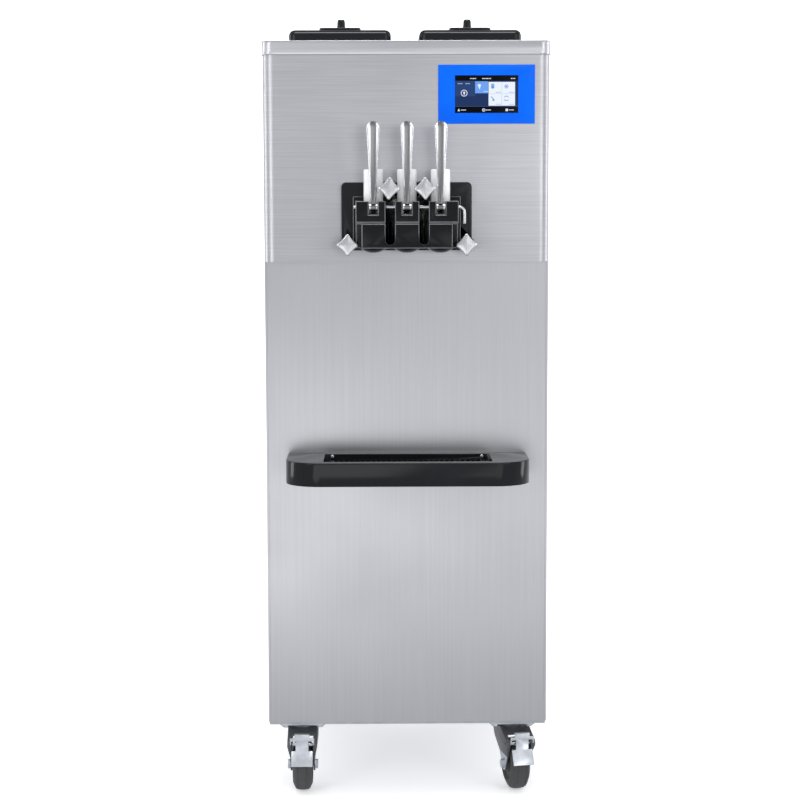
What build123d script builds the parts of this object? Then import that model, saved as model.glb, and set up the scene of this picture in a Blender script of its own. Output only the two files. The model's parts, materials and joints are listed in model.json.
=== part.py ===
from build123d import *
import os
from math import cos, radians, sin

# Floor-standing twin-flavour soft serve machine, in millimetres.
# Frame: origin on the floor under the middle of the overall box, +Z up, front faces -Y, +X is the
# operator's right. Every sub-part is a function below, written to parts/NODE.step at the end.

# ---- overall sizes -------------------------------------------------------------------------------
CABINET_WIDTH = 540.0      # across the lower side panels
CABINET_DEPTH = 634.0      # lower front panel to rear panel
CABINET_HEIGHT = 895.0     # lower panels, bottom edge to top edge
HOUSING_HEIGHT = 388.0     # upper housing, bottom fold to top fold
DECK_HEIGHT = 26.0         # skirt of the top deck
TRAY_REACH = 150.0         # drip tray, out from the lower front panel
GLAND_REACH = 16.0         # cable gland, out from the rear panel
CHASSIS_LIP = 5.0          # chassis seen below the lower panels
WHEEL_R = 50.0
CROWN_CLEARANCE = 11.0     # wheel to the fork's crown
CROWN_HEIGHT = 10.0
RACE_HEIGHT = 8.0
PLATE_SHEET = 4.0

# ---- sheet metal -----------------------------------------------------------------------------------
SHEET = 1.5
CHASSIS_SHEET = 2.0
SLIP = 0.3                 # gap between neighbouring loose pieces
RUN = 0.05                 # radial clearance of a running fit
SEAM = 0.3                 # shadow gap between front panel and side panel
PANEL_RETURN = 4.0         # front return of each side panel
POST_LEG = 25.0
POST_WALL = 2.5
DECK_PLATE = 3.0           # deck under the freezing cylinders
HOUSING_STEP = 10.0        # upper housing stands this far proud of the lower front panel
HOUSING_FLARE = 0.5        # and this far proud of each side panel
HOUSING_RADIUS = 21.0
DECK_PROUD = 5.0           # deck front beyond the housing front
DECK_FLARE = 1.8           # deck skirt beyond the housing sides
DECK_REAR = 4.0            # deck beyond the rear panel
DECK_RADIUS = 20.0
DECK_TAPER = 3.0           # degrees, skirt leans in towards its top

# ---- levels and faces worked out from the sizes above ------------------------------------------
CASTER_HEIGHT = 2 * WHEEL_R + CROWN_CLEARANCE + CROWN_HEIGHT + RACE_HEIGHT + PLATE_SHEET
HALF = CABINET_WIDTH / 2
FRONT = TRAY_REACH - (TRAY_REACH + CABINET_DEPTH + GLAND_REACH) / 2
BACK = FRONT + CABINET_DEPTH
PANEL_BOTTOM = CASTER_HEIGHT + CHASSIS_LIP
PANEL_TOP = PANEL_BOTTOM + CABINET_HEIGHT
HOUSING_TOP = PANEL_TOP + HOUSING_HEIGHT
DECK_TOP = HOUSING_TOP + DECK_HEIGHT
HOUSING_HALF = HALF + HOUSING_FLARE
HOUSING_FRONT = FRONT - HOUSING_STEP
POST_X = HALF - 4.0
POST_FRONT = FRONT + SHEET + CHASSIS_SHEET
POST_BACK = BACK - SHEET
CHASSIS_TOP = CASTER_HEIGHT + 3.0

# ---- dispensing head -----------------------------------------------------------------------------
HEAD_BOTTOM = PANEL_TOP + 27.0
PLUNGER_R = 18.0
BORE_WALL = 4.25           # plunger to the nearest slot
SLOT_WIDTH = 18.0
SPOUT_PITCH = 2 * (PLUNGER_R + BORE_WALL) + SLOT_WIDTH
HEAD_SIDE = 14.5           # outer plunger to the side of the head
HEAD_HALF = SPOUT_PITCH + PLUNGER_R + HEAD_SIDE
HEAD_FLANGE_HALF = HEAD_HALF + 6.0
HEAD_FLANGE_TOP = HEAD_BOTTOM + 96.0
HEAD_TOP = HEAD_BOTTOM + 87.0
HEAD_GROOVE_Z = HEAD_BOTTOM + 46.5
HEAD_GROOVE = 3.0
PLATE_WIDTH = 2 * (HEAD_HALF + 28.0)
PLATE_HEIGHT = 128.0
PLATE_RADIUS = 9.5
PLATE_THICK = 12.0
PLATE_DROP = 5.0           # face plate below the head
HEAD_FLANGE = 20.0
HEAD_REACH = 2 * PLUNGER_R + 17.0
PLATE_FRONT = HOUSING_FRONT - PLATE_THICK
FLANGE_FRONT = PLATE_FRONT - HEAD_FLANGE
HEAD_FRONT = FLANGE_FRONT - HEAD_REACH
SPOUTS = (-SPOUT_PITCH, 0.0, SPOUT_PITCH)
PLUNGER_Y = FLANGE_FRONT - PLUNGER_R
PLUNGER_TOP = HEAD_BOTTOM + 146.0
SEAT_Z = HEAD_BOTTOM + 4.0
SLOT_X = SPOUT_PITCH / 2
SLOT_FLOOR = HEAD_BOTTOM + 6.0
NOTCH_WIDTH = 17.5
NOTCH_FLOOR = HEAD_BOTTOM + 64.0
CORNER_CUT_X = SPOUT_PITCH + PLUNGER_R + 3.5
CORNER_CUT_Y = FLANGE_FRONT - 14.0
PASSAGE_Z = HEAD_BOTTOM + 20.0
PASSAGE_R = 6.0
NOZZLE_R = 25.0
NOZZLE_DROP = 9.0
NOZZLE_HOLE_R = 10.0

# ---- levers and pin ------------------------------------------------------------------------------
PIN_R = 3.0
PIN_Y = HEAD_FRONT + 9.0
PIN_Z = HEAD_BOTTOM + 76.0
PIN_LEFT = -HEAD_HALF - 4.0
PIN_RIGHT = HEAD_HALF + 11.0
PIN_BEND = 10.0
PIN_DROP = 31.0
TOE_ARM = 26.0
TOE_ANGLE = 22.5           # degrees below level at rest
TOE_R = 4.0
TOE_ROD_R = 2.5
TOE_GAP = 0.6
FORK_WIDTH = 16.0
FORK_R = 6.5
NECK_WIDTH = 8.0
LEVER_LENGTH = 157.0       # pin to the tip of the handle
LEVER_TIP_R = 12.0
LEVER_THICK = 8.0
LEVER_LEAN = 16.0          # tip further out than the neck

# ---- star knobs ------------------------------------------------------------------------------------
STUD_R = 4.0
STAR_HALF_WIDTH = 20.5
STAR_HALF_HEIGHT = 21.0
STAR_THICK = 12.0
STAR_WAIST = 0.49          # of the half sizes, at the middle of each hollow side
STAR_TIP = 1.8
EAR_R = 10.0
UPPER_KNOB_X = SLOT_X + 2.0
UPPER_KNOB_Z = HEAD_BOTTOM + 110.0
UPPER_KNOB_STEM = 48.0
LOWER_KNOB_X = HEAD_HALF + 16.0
LOWER_KNOB_Z = HEAD_BOTTOM + 6.0
LOWER_KNOB_STEM = 18.0
KNOB_STEM_R = 6.5

# ---- freezing cylinders and drive ----------------------------------------------------------------
CYLINDER_X = 55.0
CYLINDER_Z = HEAD_BOTTOM + 47.0
BARREL_R = 36.0
BARREL_WALL = 3.0
JACKET_R = 52.0
CYLINDER_LENGTH = 320.0
CYLINDER_BACK = HOUSING_FRONT + CYLINDER_LENGTH
FEED_X = CYLINDER_X + 7.0
FEED_R = 12.0
FEED_WALL = 3.0
SEAL_IN = 38.5
SEAL_OUT = 42.5
SEAL_DEPTH = 3.0
BEATER_R = 35.0
SHAFT_R = 6.0
GEARBOX_WIDTH = 92.0
GEARBOX_DEPTH = 60.0
GEARBOX_RISE = 43.0        # above the cylinder axis
GEARBOX_BACK = CYLINDER_BACK + GEARBOX_DEPTH
PULLEY_R = 52.0
PULLEY_WIDTH = 14.0
PULLEY_GAP = 4.0
MOTOR_PULLEY_R = 30.0
BELT_SUNK = 1.0            # belt's back below the pulley rim
BELT_THICK = 4.2
BELT_WIDTH = 8.0
GROOVE_WIDTH = 10.0
GROOVE_DEPTH = 6.0
MOTOR_Z = PANEL_TOP - 133.0
MOTOR_R = 65.0
MOTOR_LENGTH = 180.0
MOTOR_SHAFT_R = 9.0
PULLEY_PLANES = (GEARBOX_BACK + 14.0, GEARBOX_BACK + 14.0 + PULLEY_WIDTH + PULLEY_GAP)

# ---- hoppers and lids ----------------------------------------------------------------------------
HOPPER_X = 127.0
HOPPER_Y = 10.0
HOPPER_WIDTH = 176.0
HOPPER_LENGTH = 256.0
HOPPER_DEPTH = 200.0
HOPPER_RADIUS = 12.0
HOPPER_RIM = 7.0
HOPPER_GAP = 0.5
LID_HEIGHT = 33.0
LID_WALL = 3.0
LID_SLIP = 1.5             # lid wall outside the hopper's rim
LID_WIDTH = HOPPER_WIDTH + 2 * (HOPPER_RIM + LID_WALL + LID_SLIP)
LID_LENGTH = HOPPER_LENGTH + 2 * (HOPPER_RIM + LID_WALL + LID_SLIP)
LID_CORNER = 14.0
LID_CROWN = 11.0           # rounding of the lid's upper edge
LID_STEP = (81.0, 120.0, 5.0)
LID_KNOB_R = 10.2
LID_KNOB_NECK = 7.5
LID_KNOB_HEIGHT = 28.0     # above the lid's crown, with the step

# ---- display ---------------------------------------------------------------------------------------
DISPLAY_X = 151.0
DISPLAY_Z = HOUSING_TOP - 74.0
BEZEL_WIDTH = 182.0
BEZEL_HEIGHT = 110.0
BEZEL_THICK = 2.5
SCREEN_WIDTH = 119.0
SCREEN_HEIGHT = 70.0
SCREEN_THICK = 6.0
SCREEN_SUNK = 0.6

# ---- drip tray -------------------------------------------------------------------------------------
TRAY_HALF = 228.0
TRAY_BOTTOM = PANEL_BOTTOM + 485.0
TRAY_HEIGHT = 44.0
TRAY_RADIUS = 65.0
TRAY_WALL = 3.0
TRAY_FRONT = FRONT - TRAY_REACH
WELL_HALF = 157.0
WELL_FRONT_RIM = 20.0
WELL_BACK_RIM = 18.0
WELL_DEPTH = 34.0
PAN_GAP = 1.0
PAN_WALL = 1.2
PAN_HEIGHT = 21.0
GRID_THICK = 3.0
SCREW_CLEAR = 5.0          # pan clear of the screw heads on the well's back wall
GRID_SLOT = 5.0
GRID_PITCH = 10.0
TRAY_SCREW_X = 143.0
TRAY_SCREW_DROP = 5.0

# ---- fasteners and gland -------------------------------------------------------------------------
SCREW_R = 2.0
SCREW_HEAD_R = 3.5
SCREW_HEAD = 2.5
SCREW_CLEARANCE = 0.3
REAR_SCREW_X = HALF - 12.0
REAR_SCREW_Z = (PANEL_BOTTOM + 62.0, PANEL_BOTTOM + 440.0, PANEL_TOP - 30.0, HOUSING_TOP - 40.0)
GLAND_X = -200.0
GLAND_Z = PANEL_BOTTOM + 82.0
GLAND_R = 13.0
GLAND_BORE_R = 6.0
GLAND_THREAD_R = 9.0

# ---- refrigeration ---------------------------------------------------------------------------------
COMPRESSOR_R = 75.0
COMPRESSOR_HEIGHT = 190.0
COMPRESSOR_AT = (-130.0, 90.0)
CONDENSER_THICK = 60.0
CONDENSER_LENGTH = 340.0
CONDENSER_HEIGHT = 340.0
CONDENSER_Y = 80.0
CONDENSER_INSET = 12.0     # from the right side panel
FAN_R = 140.0
FAN_HUB_R = 26.0
FAN_WIDTH = 22.0
FAN_ROOT = 8.0             # blade set into the hub
FAN_PITCH = 20.0           # degrees
FAN_GAP = 10.0

# ---- casters ---------------------------------------------------------------------------------------
WHEEL_WIDTH = 38.0
TREAD_WIDTH = 28.0
AXLE_R = 5.0
CASTER_INSET_X = 65.0
CASTER_INSET_FRONT = 50.0
CASTER_INSET_BACK = 50.0
CASTER_TRAIL = 35.0
PLATE_SIZE = 88.0
RACE_R = 28.0
CROWN_R = 29.0
KINGPIN_R = 6.0
CHEEK_OUT = 24.0
CHEEK_IN = 21.0
BOLT_REACH = 5.5
PLATE_BOLT = 33.0
PLATE_BOLT_R = 4.0
PEDAL_PIN_R = 3.0
PEDAL_CLEARANCE = 5.8      # wheel rim to the pedal pin's axis
PEDAL_ANGLE = 58.0         # degrees up from the wheel's centre, towards the front
PEDAL_PIN_Y = -CASTER_TRAIL - (WHEEL_R + PEDAL_CLEARANCE) * cos(radians(PEDAL_ANGLE))
PEDAL_PIN_Z = WHEEL_R + (WHEEL_R + PEDAL_CLEARANCE) * sin(radians(PEDAL_ANGLE))
PEDAL_SHEET = 2.5
PEDAL_FACE = 15.0          # pin's axis to the pedal's plate
STEM_HALF = 12.5
CROSS_HALF = 23.5
TAB_HALF = 14.5
FOOT_HALF = 20.5

CASTERS = {                # name: (side, row, swivel angle in degrees)
    "front_left": (-1, "front", 0.0),
    "front_right": (1, "front", 12.0),
    "rear_left": (-1, "rear", 0.0),
    "rear_right": (1, "rear", 0.0),
}
BRAKED = ("front_left", "front_right")
SIDES = {"left": -1, "right": 1}
SPOUT_NAMES = {"left": -SPOUT_PITCH, "centre": 0.0, "right": SPOUT_PITCH}
KNOBS = {                  # name: (x, z, stem, turn in degrees)
    "upper_left": (-UPPER_KNOB_X, UPPER_KNOB_Z, UPPER_KNOB_STEM, 2.0),
    "upper_right": (UPPER_KNOB_X, UPPER_KNOB_Z, UPPER_KNOB_STEM, -3.0),
    "lower_left": (-LOWER_KNOB_X, LOWER_KNOB_Z, LOWER_KNOB_STEM, -6.0),
    "lower_right": (LOWER_KNOB_X, LOWER_KNOB_Z, LOWER_KNOB_STEM, -4.0),
}


# ---- helpers ---------------------------------------------------------------------------------------
def block(x, y, z):
    """A box between (low, high) pairs."""
    size = [high - low for low, high in (x, y, z)]
    middle = [(low + high) / 2 for low, high in (x, y, z)]
    return Pos(*middle) * Box(*size)


def rod(radius, start, end):
    """A round bar from one point to another."""
    along = Vector(*end) - Vector(*start)
    plane = Plane(origin=start, z_dir=along)
    return plane * Cylinder(radius, along.length, align=(Align.CENTER, Align.CENTER, Align.MIN))


def rod_y(radius, x, z, y_from, y_to):
    """A round bar along Y."""
    return rod(radius, (x, y_from, z), (x, y_to, z))


def rod_x(radius, y, z, x_from, x_to):
    """A round bar along X."""
    return rod(radius, (x_from, y, z), (x_to, y, z))


def rod_z(radius, x, y, z_from, z_to):
    """A round bar along Z."""
    return rod(radius, (x, y, z_from), (x, y, z_to))


def front_rounded(half, front, back, radius):
    """A plan outline with its two front corners rounded."""
    outline = Pos(0, (front + back) / 2) * Rectangle(2 * half, back - front)
    corners = outline.vertices().group_by(Axis.Y)[0]
    return fillet(corners, radius)


def extrude_up(outline, z_low, z_high):
    """A plan outline raised between two levels."""
    return Pos(0, 0, z_low) * extrude(outline, z_high - z_low)


def extrude_x(points, x_low, x_high):
    """A closed outline of (y, z) points, extruded along X."""
    wire = Polyline(*[(x_low, y, z) for y, z in points], close=True)
    return extrude(make_face(wire), amount=x_high - x_low, dir=(1, 0, 0))


def tube_y(r_out, r_in, x, z, y_from, y_to):
    """A round tube along Y."""
    return rod_y(r_out, x, z, y_from, y_to) - rod_y(r_in, x, z, y_from - 1, y_to + 1)


def rounded_box(x, y, width, length, radius, z_low, z_high):
    """A plan rectangle with rounded corners, raised between two levels."""
    return extrude_up(Pos(x, y) * RectangleRounded(width, length, radius), z_low, z_high)


# ---- cabinet ---------------------------------------------------------------------------------------
def caster_at(name):
    """The swivel axis of a caster in plan."""
    side, row, _ = CASTERS[name]
    y = FRONT + CASTER_INSET_FRONT if row == "front" else BACK - CASTER_INSET_BACK
    return side * (HALF - CASTER_INSET_X), y


def plate_bolt_points():
    """Plan points of every bolt that holds a caster plate."""
    for name in CASTERS:
        x, y = caster_at(name)
        for dx in (-PLATE_BOLT, PLATE_BOLT):
            for dy in (-PLATE_BOLT, PLATE_BOLT):
                yield x + dx, y + dy


def base_chassis():
    """Open tray of bent sheet that carries everything."""
    outer = HALF - SHEET
    front = FRONT + SHEET
    tray = block((-outer, outer), (front, BACK - SHEET), (CASTER_HEIGHT, CASTER_HEIGHT + 53))
    wall = CHASSIS_SHEET
    tray -= block((wall - outer, outer - wall), (front + wall, BACK - SHEET - wall),
                  (CHASSIS_TOP, CASTER_HEIGHT + 60))
    for x, y in plate_bolt_points():
        tray -= rod_z(PLATE_BOLT_R + SLIP, x, y, CASTER_HEIGHT - 1, CHASSIS_TOP + 1)
    return tray


def rear_screw_points():
    """(x, z) of every screw in the rear panel."""
    return [(side * REAR_SCREW_X, z) for side in (-1, 1) for z in REAR_SCREW_Z]


def inner_frame():
    """Four corner angles welded to the deck under the freezing cylinders, open for the belts."""
    back_face = POST_BACK - CHASSIS_SHEET
    half = POST_X - POST_WALL
    frame = block((-half, half), (POST_FRONT + POST_WALL, back_face - POST_WALL),
                  (PANEL_TOP - DECK_PLATE, PANEL_TOP))
    for side in (-1, 1):
        for face, inward in ((POST_FRONT, 1), (back_face, -1)):
            x_out = side * POST_X
            leg_x = sorted((x_out, x_out - side * POST_LEG))
            leg_y = sorted((face, face + inward * POST_LEG))
            thin_x = sorted((x_out, x_out - side * POST_WALL))
            thin_y = sorted((face, face + inward * POST_WALL))
            frame += block(leg_x, thin_y, (CHASSIS_TOP, HOUSING_TOP))
            frame += block(thin_x, leg_y, (CHASSIS_TOP, HOUSING_TOP))
    for x, z in rear_screw_points():
        frame -= rod_y(SCREW_R + SCREW_CLEARANCE, x, z, back_face - POST_WALL - 1, BACK)
    belts = (PULLEY_PLANES[0] - 6, PULLEY_PLANES[1] + PULLEY_WIDTH + 6)
    reach = CYLINDER_X + PULLEY_R + 6
    return frame - block((-reach, reach), belts, (PANEL_TOP - 10, PANEL_TOP + 10))


def vent_slots(rows, columns, pitch_z, pitch_along, slot, z_low, along_low):
    """Low corners and sizes of a grid of slots, as (along, z) pairs."""
    for row in range(rows):
        for column in range(columns):
            yield along_low + column * pitch_along, z_low + row * pitch_z, slot


def side_panel(side):
    """Lower side sheet with its narrow front return and vent slots by the condenser."""
    sheet = block((HALF - SHEET, HALF), (FRONT, BACK), (PANEL_BOTTOM, PANEL_TOP))
    sheet += block((HALF - PANEL_RETURN, HALF), (FRONT, FRONT + SHEET), (PANEL_BOTTOM, PANEL_TOP))
    first = CONDENSER_Y - 145
    for y, z, slot in vent_slots(14, 3, 20, 100, 84, PANEL_BOTTOM + 60, first):
        sheet -= block((HALF - 2 * SHEET, HALF + SHEET), (y, y + slot), (z, z + 6))
    return sheet if side > 0 else mirror(sheet, Plane.YZ)


def lower_front_panel():
    """Flat front sheet with side hems, drilled for the drip tray."""
    half = HALF - PANEL_RETURN - SEAM
    panel = block((-half, half), (FRONT, FRONT + SHEET), (PANEL_BOTTOM, PANEL_TOP))
    for side in (-1, 1):
        hem_x = sorted((side * half, side * (half - 10)))
        panel += block(hem_x, (FRONT + SHEET, FRONT + 2 * SHEET),
                       (CASTER_HEIGHT + 56, PANEL_TOP - 10))
        panel -= rod_y(SCREW_R + SCREW_CLEARANCE, side * TRAY_SCREW_X, tray_screw_z(),
                       FRONT - 5, FRONT + 5)
    return panel


def rear_panel():
    """One tall rear sheet with vent slots, screw holes and the gland hole."""
    panel = block((-POST_X, POST_X), (BACK - SHEET, BACK), (PANEL_BOTTOM, HOUSING_TOP - 3))
    for x, z, slot in vent_slots(16, 3, 20, 120, 100, PANEL_BOTTOM + 520, -170):
        panel -= block((x, x + slot), (BACK - 2 * SHEET, BACK + SHEET), (z, z + 6))
    for x, z in rear_screw_points():
        panel -= rod_y(SCREW_R + SCREW_CLEARANCE, x, z, BACK - 5, BACK + 5)
    return panel - rod_y(GLAND_THREAD_R, GLAND_X, GLAND_Z, BACK - 5, BACK + 5)


def upper_housing():
    """U-shaped stainless wrap round the front and sides, folded in at top and bottom."""
    outline = front_rounded(HOUSING_HALF, HOUSING_FRONT, BACK, HOUSING_RADIUS)
    inside = front_rounded(HOUSING_HALF - SHEET, HOUSING_FRONT + SHEET, BACK + 1,
                           HOUSING_RADIUS - SHEET)
    shell = extrude_up(outline - inside, PANEL_TOP, HOUSING_TOP)
    fold_gap = Pos(0, (POST_FRONT + BACK) / 2) * Rectangle(
        2 * POST_X + 1, BACK - POST_FRONT + 2)
    fold = front_rounded(HOUSING_HALF, HOUSING_FRONT, BACK, HOUSING_RADIUS) - fold_gap
    shell += extrude_up(fold, PANEL_TOP, PANEL_TOP + SHEET)
    shell += extrude_up(fold, HOUSING_TOP - SHEET, HOUSING_TOP)
    through = (HOUSING_FRONT - 5, HOUSING_FRONT + SHEET + 0.5)
    mouth = PLATE_WIDTH / 2 - 7
    shell -= block((-mouth, mouth), through, (plate_bottom() + 5, plate_bottom() + PLATE_HEIGHT - 5))
    window = BEZEL_WIDTH / 2 - 6
    shell -= block((DISPLAY_X - window, DISPLAY_X + window), through,
                   (DISPLAY_Z - BEZEL_HEIGHT / 2 + 6, DISPLAY_Z + BEZEL_HEIGHT / 2 - 6))
    return shell


def top_deck():
    """Shallow cap with a skirt that leans in, a bottom fold, and two hopper openings."""
    half = HOUSING_HALF + DECK_FLARE
    front = HOUSING_FRONT - DECK_PROUD
    back = BACK + DECK_REAR
    middle = (front + back) / 2
    outline = Pos(0, middle) * RectangleRounded(2 * half, back - front, DECK_RADIUS)
    inside = Pos(0, middle) * RectangleRounded(2 * (half - 3), back - front - 6, DECK_RADIUS - 3)
    cap = Pos(0, 0, HOUSING_TOP) * extrude(outline, DECK_HEIGHT, taper=DECK_TAPER)
    cap -= extrude_up(inside, HOUSING_TOP + SHEET, DECK_TOP - SHEET)
    fold = Pos(0, middle) * Rectangle(2 * (POST_X - 2), back - front - 34)
    cap -= extrude_up(fold, HOUSING_TOP - 1, HOUSING_TOP + 5)
    gap = HOPPER_GAP
    for side in (-1, 1):
        cap -= rounded_box(side * HOPPER_X, HOPPER_Y, HOPPER_WIDTH + 2 * gap,
                           HOPPER_LENGTH + 2 * gap, HOPPER_RADIUS + gap, HOUSING_TOP, DECK_TOP + 1)
    return cap


# ---- hoppers and lids ----------------------------------------------------------------------------
def hopper(side):
    """Stainless mix tub hung by its rim, with an outlet spigot in its floor."""
    x = side * HOPPER_X
    floor = DECK_TOP - HOPPER_DEPTH
    rim = DECK_TOP + 1.2
    tub = rounded_box(x, HOPPER_Y, HOPPER_WIDTH, HOPPER_LENGTH, HOPPER_RADIUS, floor, rim)
    tub += rounded_box(x, HOPPER_Y, HOPPER_WIDTH + 2 * HOPPER_RIM, HOPPER_LENGTH + 2 * HOPPER_RIM,
                       HOPPER_RADIUS + HOPPER_RIM, DECK_TOP, rim)
    tub += rod_z(FEED_R, side * FEED_X, HOPPER_Y, spigot_bottom(), floor + 1)
    tub -= rounded_box(x, HOPPER_Y, HOPPER_WIDTH - 2 * SHEET, HOPPER_LENGTH - 2 * SHEET,
                       HOPPER_RADIUS - SHEET, floor + SHEET, rim + 1)
    return tub - rod_z(FEED_R - FEED_WALL, side * FEED_X, HOPPER_Y, spigot_bottom() - 1, floor + 5)


def spigot_bottom():
    """Where a hopper's spigot meets the cylinder's feed pipe."""
    return DECK_TOP - HOPPER_DEPTH - 15


def hopper_lid(side):
    """Hollow moulded lid with a rounded crown, a raised step and a flared knob."""
    x = side * HOPPER_X
    crown = DECK_TOP + LID_HEIGHT
    base = DECK_TOP + SLIP
    lid = rounded_box(x, HOPPER_Y, LID_WIDTH, LID_LENGTH, LID_CORNER, base, crown)
    lid = fillet(lid.edges().group_by(Axis.Z)[-1], LID_CROWN)
    lid -= rounded_box(x, HOPPER_Y, LID_WIDTH - 2 * LID_WALL, LID_LENGTH - 2 * LID_WALL,
                       LID_CORNER - LID_WALL, base - 1, crown - LID_CROWN)
    width, length, rise = LID_STEP
    step = rounded_box(x, HOPPER_Y, width, length, 10, crown - 1, crown + rise)
    lid += fillet(step.edges().group_by(Axis.Z)[-1], 2)
    knob_top = crown + LID_KNOB_HEIGHT + rise
    return lid + lid_knob(x, crown + rise, knob_top)


def lid_knob(x, z_low, z_high):
    """Turned knob: a neck that flares to a rounded head."""
    head = z_high - (z_high - z_low) * 0.4
    r_neck, r_head = LID_KNOB_NECK, LID_KNOB_R
    profile = Polyline((0, z_low - 1), (r_neck + 1.5, z_low - 1), (r_neck, z_low + 3),
                       (r_neck, head - 3), (r_head, head + 1), (r_head, z_high - 2),
                       (r_head - 2, z_high), (0, z_high), close=True)
    face = make_face(Plane.XZ * profile)
    return Pos(x, HOPPER_Y, 0) * revolve(face, Axis.Z)


# ---- freezing cylinders and drive ----------------------------------------------------------------
def freezing_cylinder(side):
    """Barrel with its insulated jacket, rear wall and feed pipe, welded as one."""
    x = side * CYLINDER_X
    jacket = rod_y(JACKET_R, x, CYLINDER_Z, HOUSING_FRONT + 10, CYLINDER_BACK - 10)
    barrel = rod_y(BARREL_R + BARREL_WALL, x, CYLINDER_Z, HOUSING_FRONT, CYLINDER_BACK)
    pipe = rod_z(FEED_R, side * FEED_X, HOPPER_Y, CYLINDER_Z + 30, spigot_bottom())
    body = jacket + barrel + pipe
    body -= rod_y(BARREL_R, x, CYLINDER_Z, HOUSING_FRONT - 1, CYLINDER_BACK - 4)
    body -= rod_y(SHAFT_R + RUN, x, CYLINDER_Z, CYLINDER_BACK - 5, CYLINDER_BACK + 1)
    return body - rod_z(FEED_R - FEED_WALL, side * FEED_X, HOPPER_Y, CYLINDER_Z + 10,
                        spigot_bottom() + 1)


def beater(side):
    """Shaft with two scraper blades on cross bars."""
    x = side * CYLINDER_X
    z = CYLINDER_Z
    front = HOUSING_FRONT + 2
    back = CYLINDER_BACK - 10
    spin = rod_y(SHAFT_R, x, z, front, CYLINDER_BACK + 20)
    for sign in (-1, 1):
        blade_x = sorted((x + sign * (BEATER_R - 8), x + sign * BEATER_R))
        spin += block(blade_x, (front, back), (z - 1.5, z + 1.5))
    stations = 4
    for k in range(stations):
        y = front + 6 + k * (back - front - 12) / (stations - 1)
        spin += rod_x(3, y, z, x - BEATER_R + 4, x + BEATER_R - 4)
    return spin


def gearboxes():
    """Two reduction gear cases standing on the middle deck behind the cylinders."""
    cases = []
    for side in (-1, 1):
        x = side * CYLINDER_X
        case = block((x - GEARBOX_WIDTH / 2, x + GEARBOX_WIDTH / 2), (CYLINDER_BACK, GEARBOX_BACK),
                     (PANEL_TOP, CYLINDER_Z + GEARBOX_RISE))
        case -= rod_y(SHAFT_R + RUN, x, CYLINDER_Z, CYLINDER_BACK - 1, CYLINDER_BACK + 22)
        case -= rod_y(MOTOR_SHAFT_R + RUN, x, CYLINDER_Z, GEARBOX_BACK - 20, GEARBOX_BACK + 1)
        cases.append(case)
    return Compound(children=[solid for case in cases for solid in case.solids()])


def groove_ring(radius, x, z, y_low):
    """The ring of metal that a belt groove takes out."""
    side = (PULLEY_WIDTH - GROOVE_WIDTH) / 2
    y_from = y_low + side
    y_to = y_from + GROOVE_WIDTH
    return rod_y(radius + 5, x, z, y_from, y_to) - rod_y(radius - GROOVE_DEPTH, x, z, y_from, y_to)


def gearbox_pulley(side):
    """Large pulley on the gearbox's input shaft."""
    x = side * CYLINDER_X
    y_low = PULLEY_PLANES[0 if side < 0 else 1]
    disc = rod_y(PULLEY_R, x, CYLINDER_Z, y_low, y_low + PULLEY_WIDTH)
    disc -= groove_ring(PULLEY_R, x, CYLINDER_Z, y_low)
    holes = 5
    for k in range(holes):
        angle = radians(360 * k / holes)
        disc -= rod_y(9, x + 29 * cos(angle), CYLINDER_Z + 29 * sin(angle), y_low - 1,
                      y_low + PULLEY_WIDTH + 1)
    return disc + rod_y(MOTOR_SHAFT_R, x, CYLINDER_Z, GEARBOX_BACK - 18, y_low + PULLEY_WIDTH + 6)


def motor_pulley():
    """Two small grooves on the motor's shaft, one for each belt."""
    y_end = PULLEY_PLANES[1] + PULLEY_WIDTH
    disc = rod_y(MOTOR_PULLEY_R, 0, MOTOR_Z, PULLEY_PLANES[0], y_end)
    for y_low in PULLEY_PLANES:
        disc -= groove_ring(MOTOR_PULLEY_R, 0, MOTOR_Z, y_low)
    return disc + rod_y(MOTOR_SHAFT_R, 0, MOTOR_Z, GEARBOX_BACK - 18, y_end + 4)


def belt_loop(side, inset):
    """The outline of a belt's run round both of its pulleys."""
    small = Circle(MOTOR_PULLEY_R - inset).edges()
    large = (Pos(side * CYLINDER_X, CYLINDER_Z - MOTOR_Z) * Circle(PULLEY_R - inset)).edges()
    return make_hull(small + large)


def drive_belts():
    """Two belts from the motor up to the gearbox pulleys."""
    belts = []
    for side in (-1, 1):
        y_low = PULLEY_PLANES[0 if side < 0 else 1] + (PULLEY_WIDTH - BELT_WIDTH) / 2
        ring = belt_loop(side, BELT_SUNK) - belt_loop(side, BELT_SUNK + BELT_THICK)
        plane = Plane(origin=(0, y_low, MOTOR_Z), x_dir=(1, 0, 0), z_dir=(0, -1, 0))
        belts.append(extrude(plane * ring, amount=-BELT_WIDTH))
    return Compound(children=[solid for belt in belts for solid in belt.solids()])


def drive_motor():
    """Motor hung under the middle deck on a saddle, shaft to the rear."""
    back = GEARBOX_BACK
    front = back - MOTOR_LENGTH
    motor = rod_y(MOTOR_R, 0, MOTOR_Z, front, back)
    for side in (-1, 1):
        x = sorted((side * 34, side * 42))
        motor += block(x, (front + 30, back - 30), (MOTOR_Z, PANEL_TOP - DECK_PLATE))
    fins = 6
    for k in range(fins):
        y = front + 30 + k * 24
        motor -= tube_y(MOTOR_R + 60, MOTOR_R - 3, 0, MOTOR_Z, y, y + 8) & block(
            (-200, 200), (y - 2, y + 10), (MOTOR_Z - 100, MOTOR_Z))
    return motor - rod_y(MOTOR_SHAFT_R + RUN, 0, MOTOR_Z, back - 20, back + 1)


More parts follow.
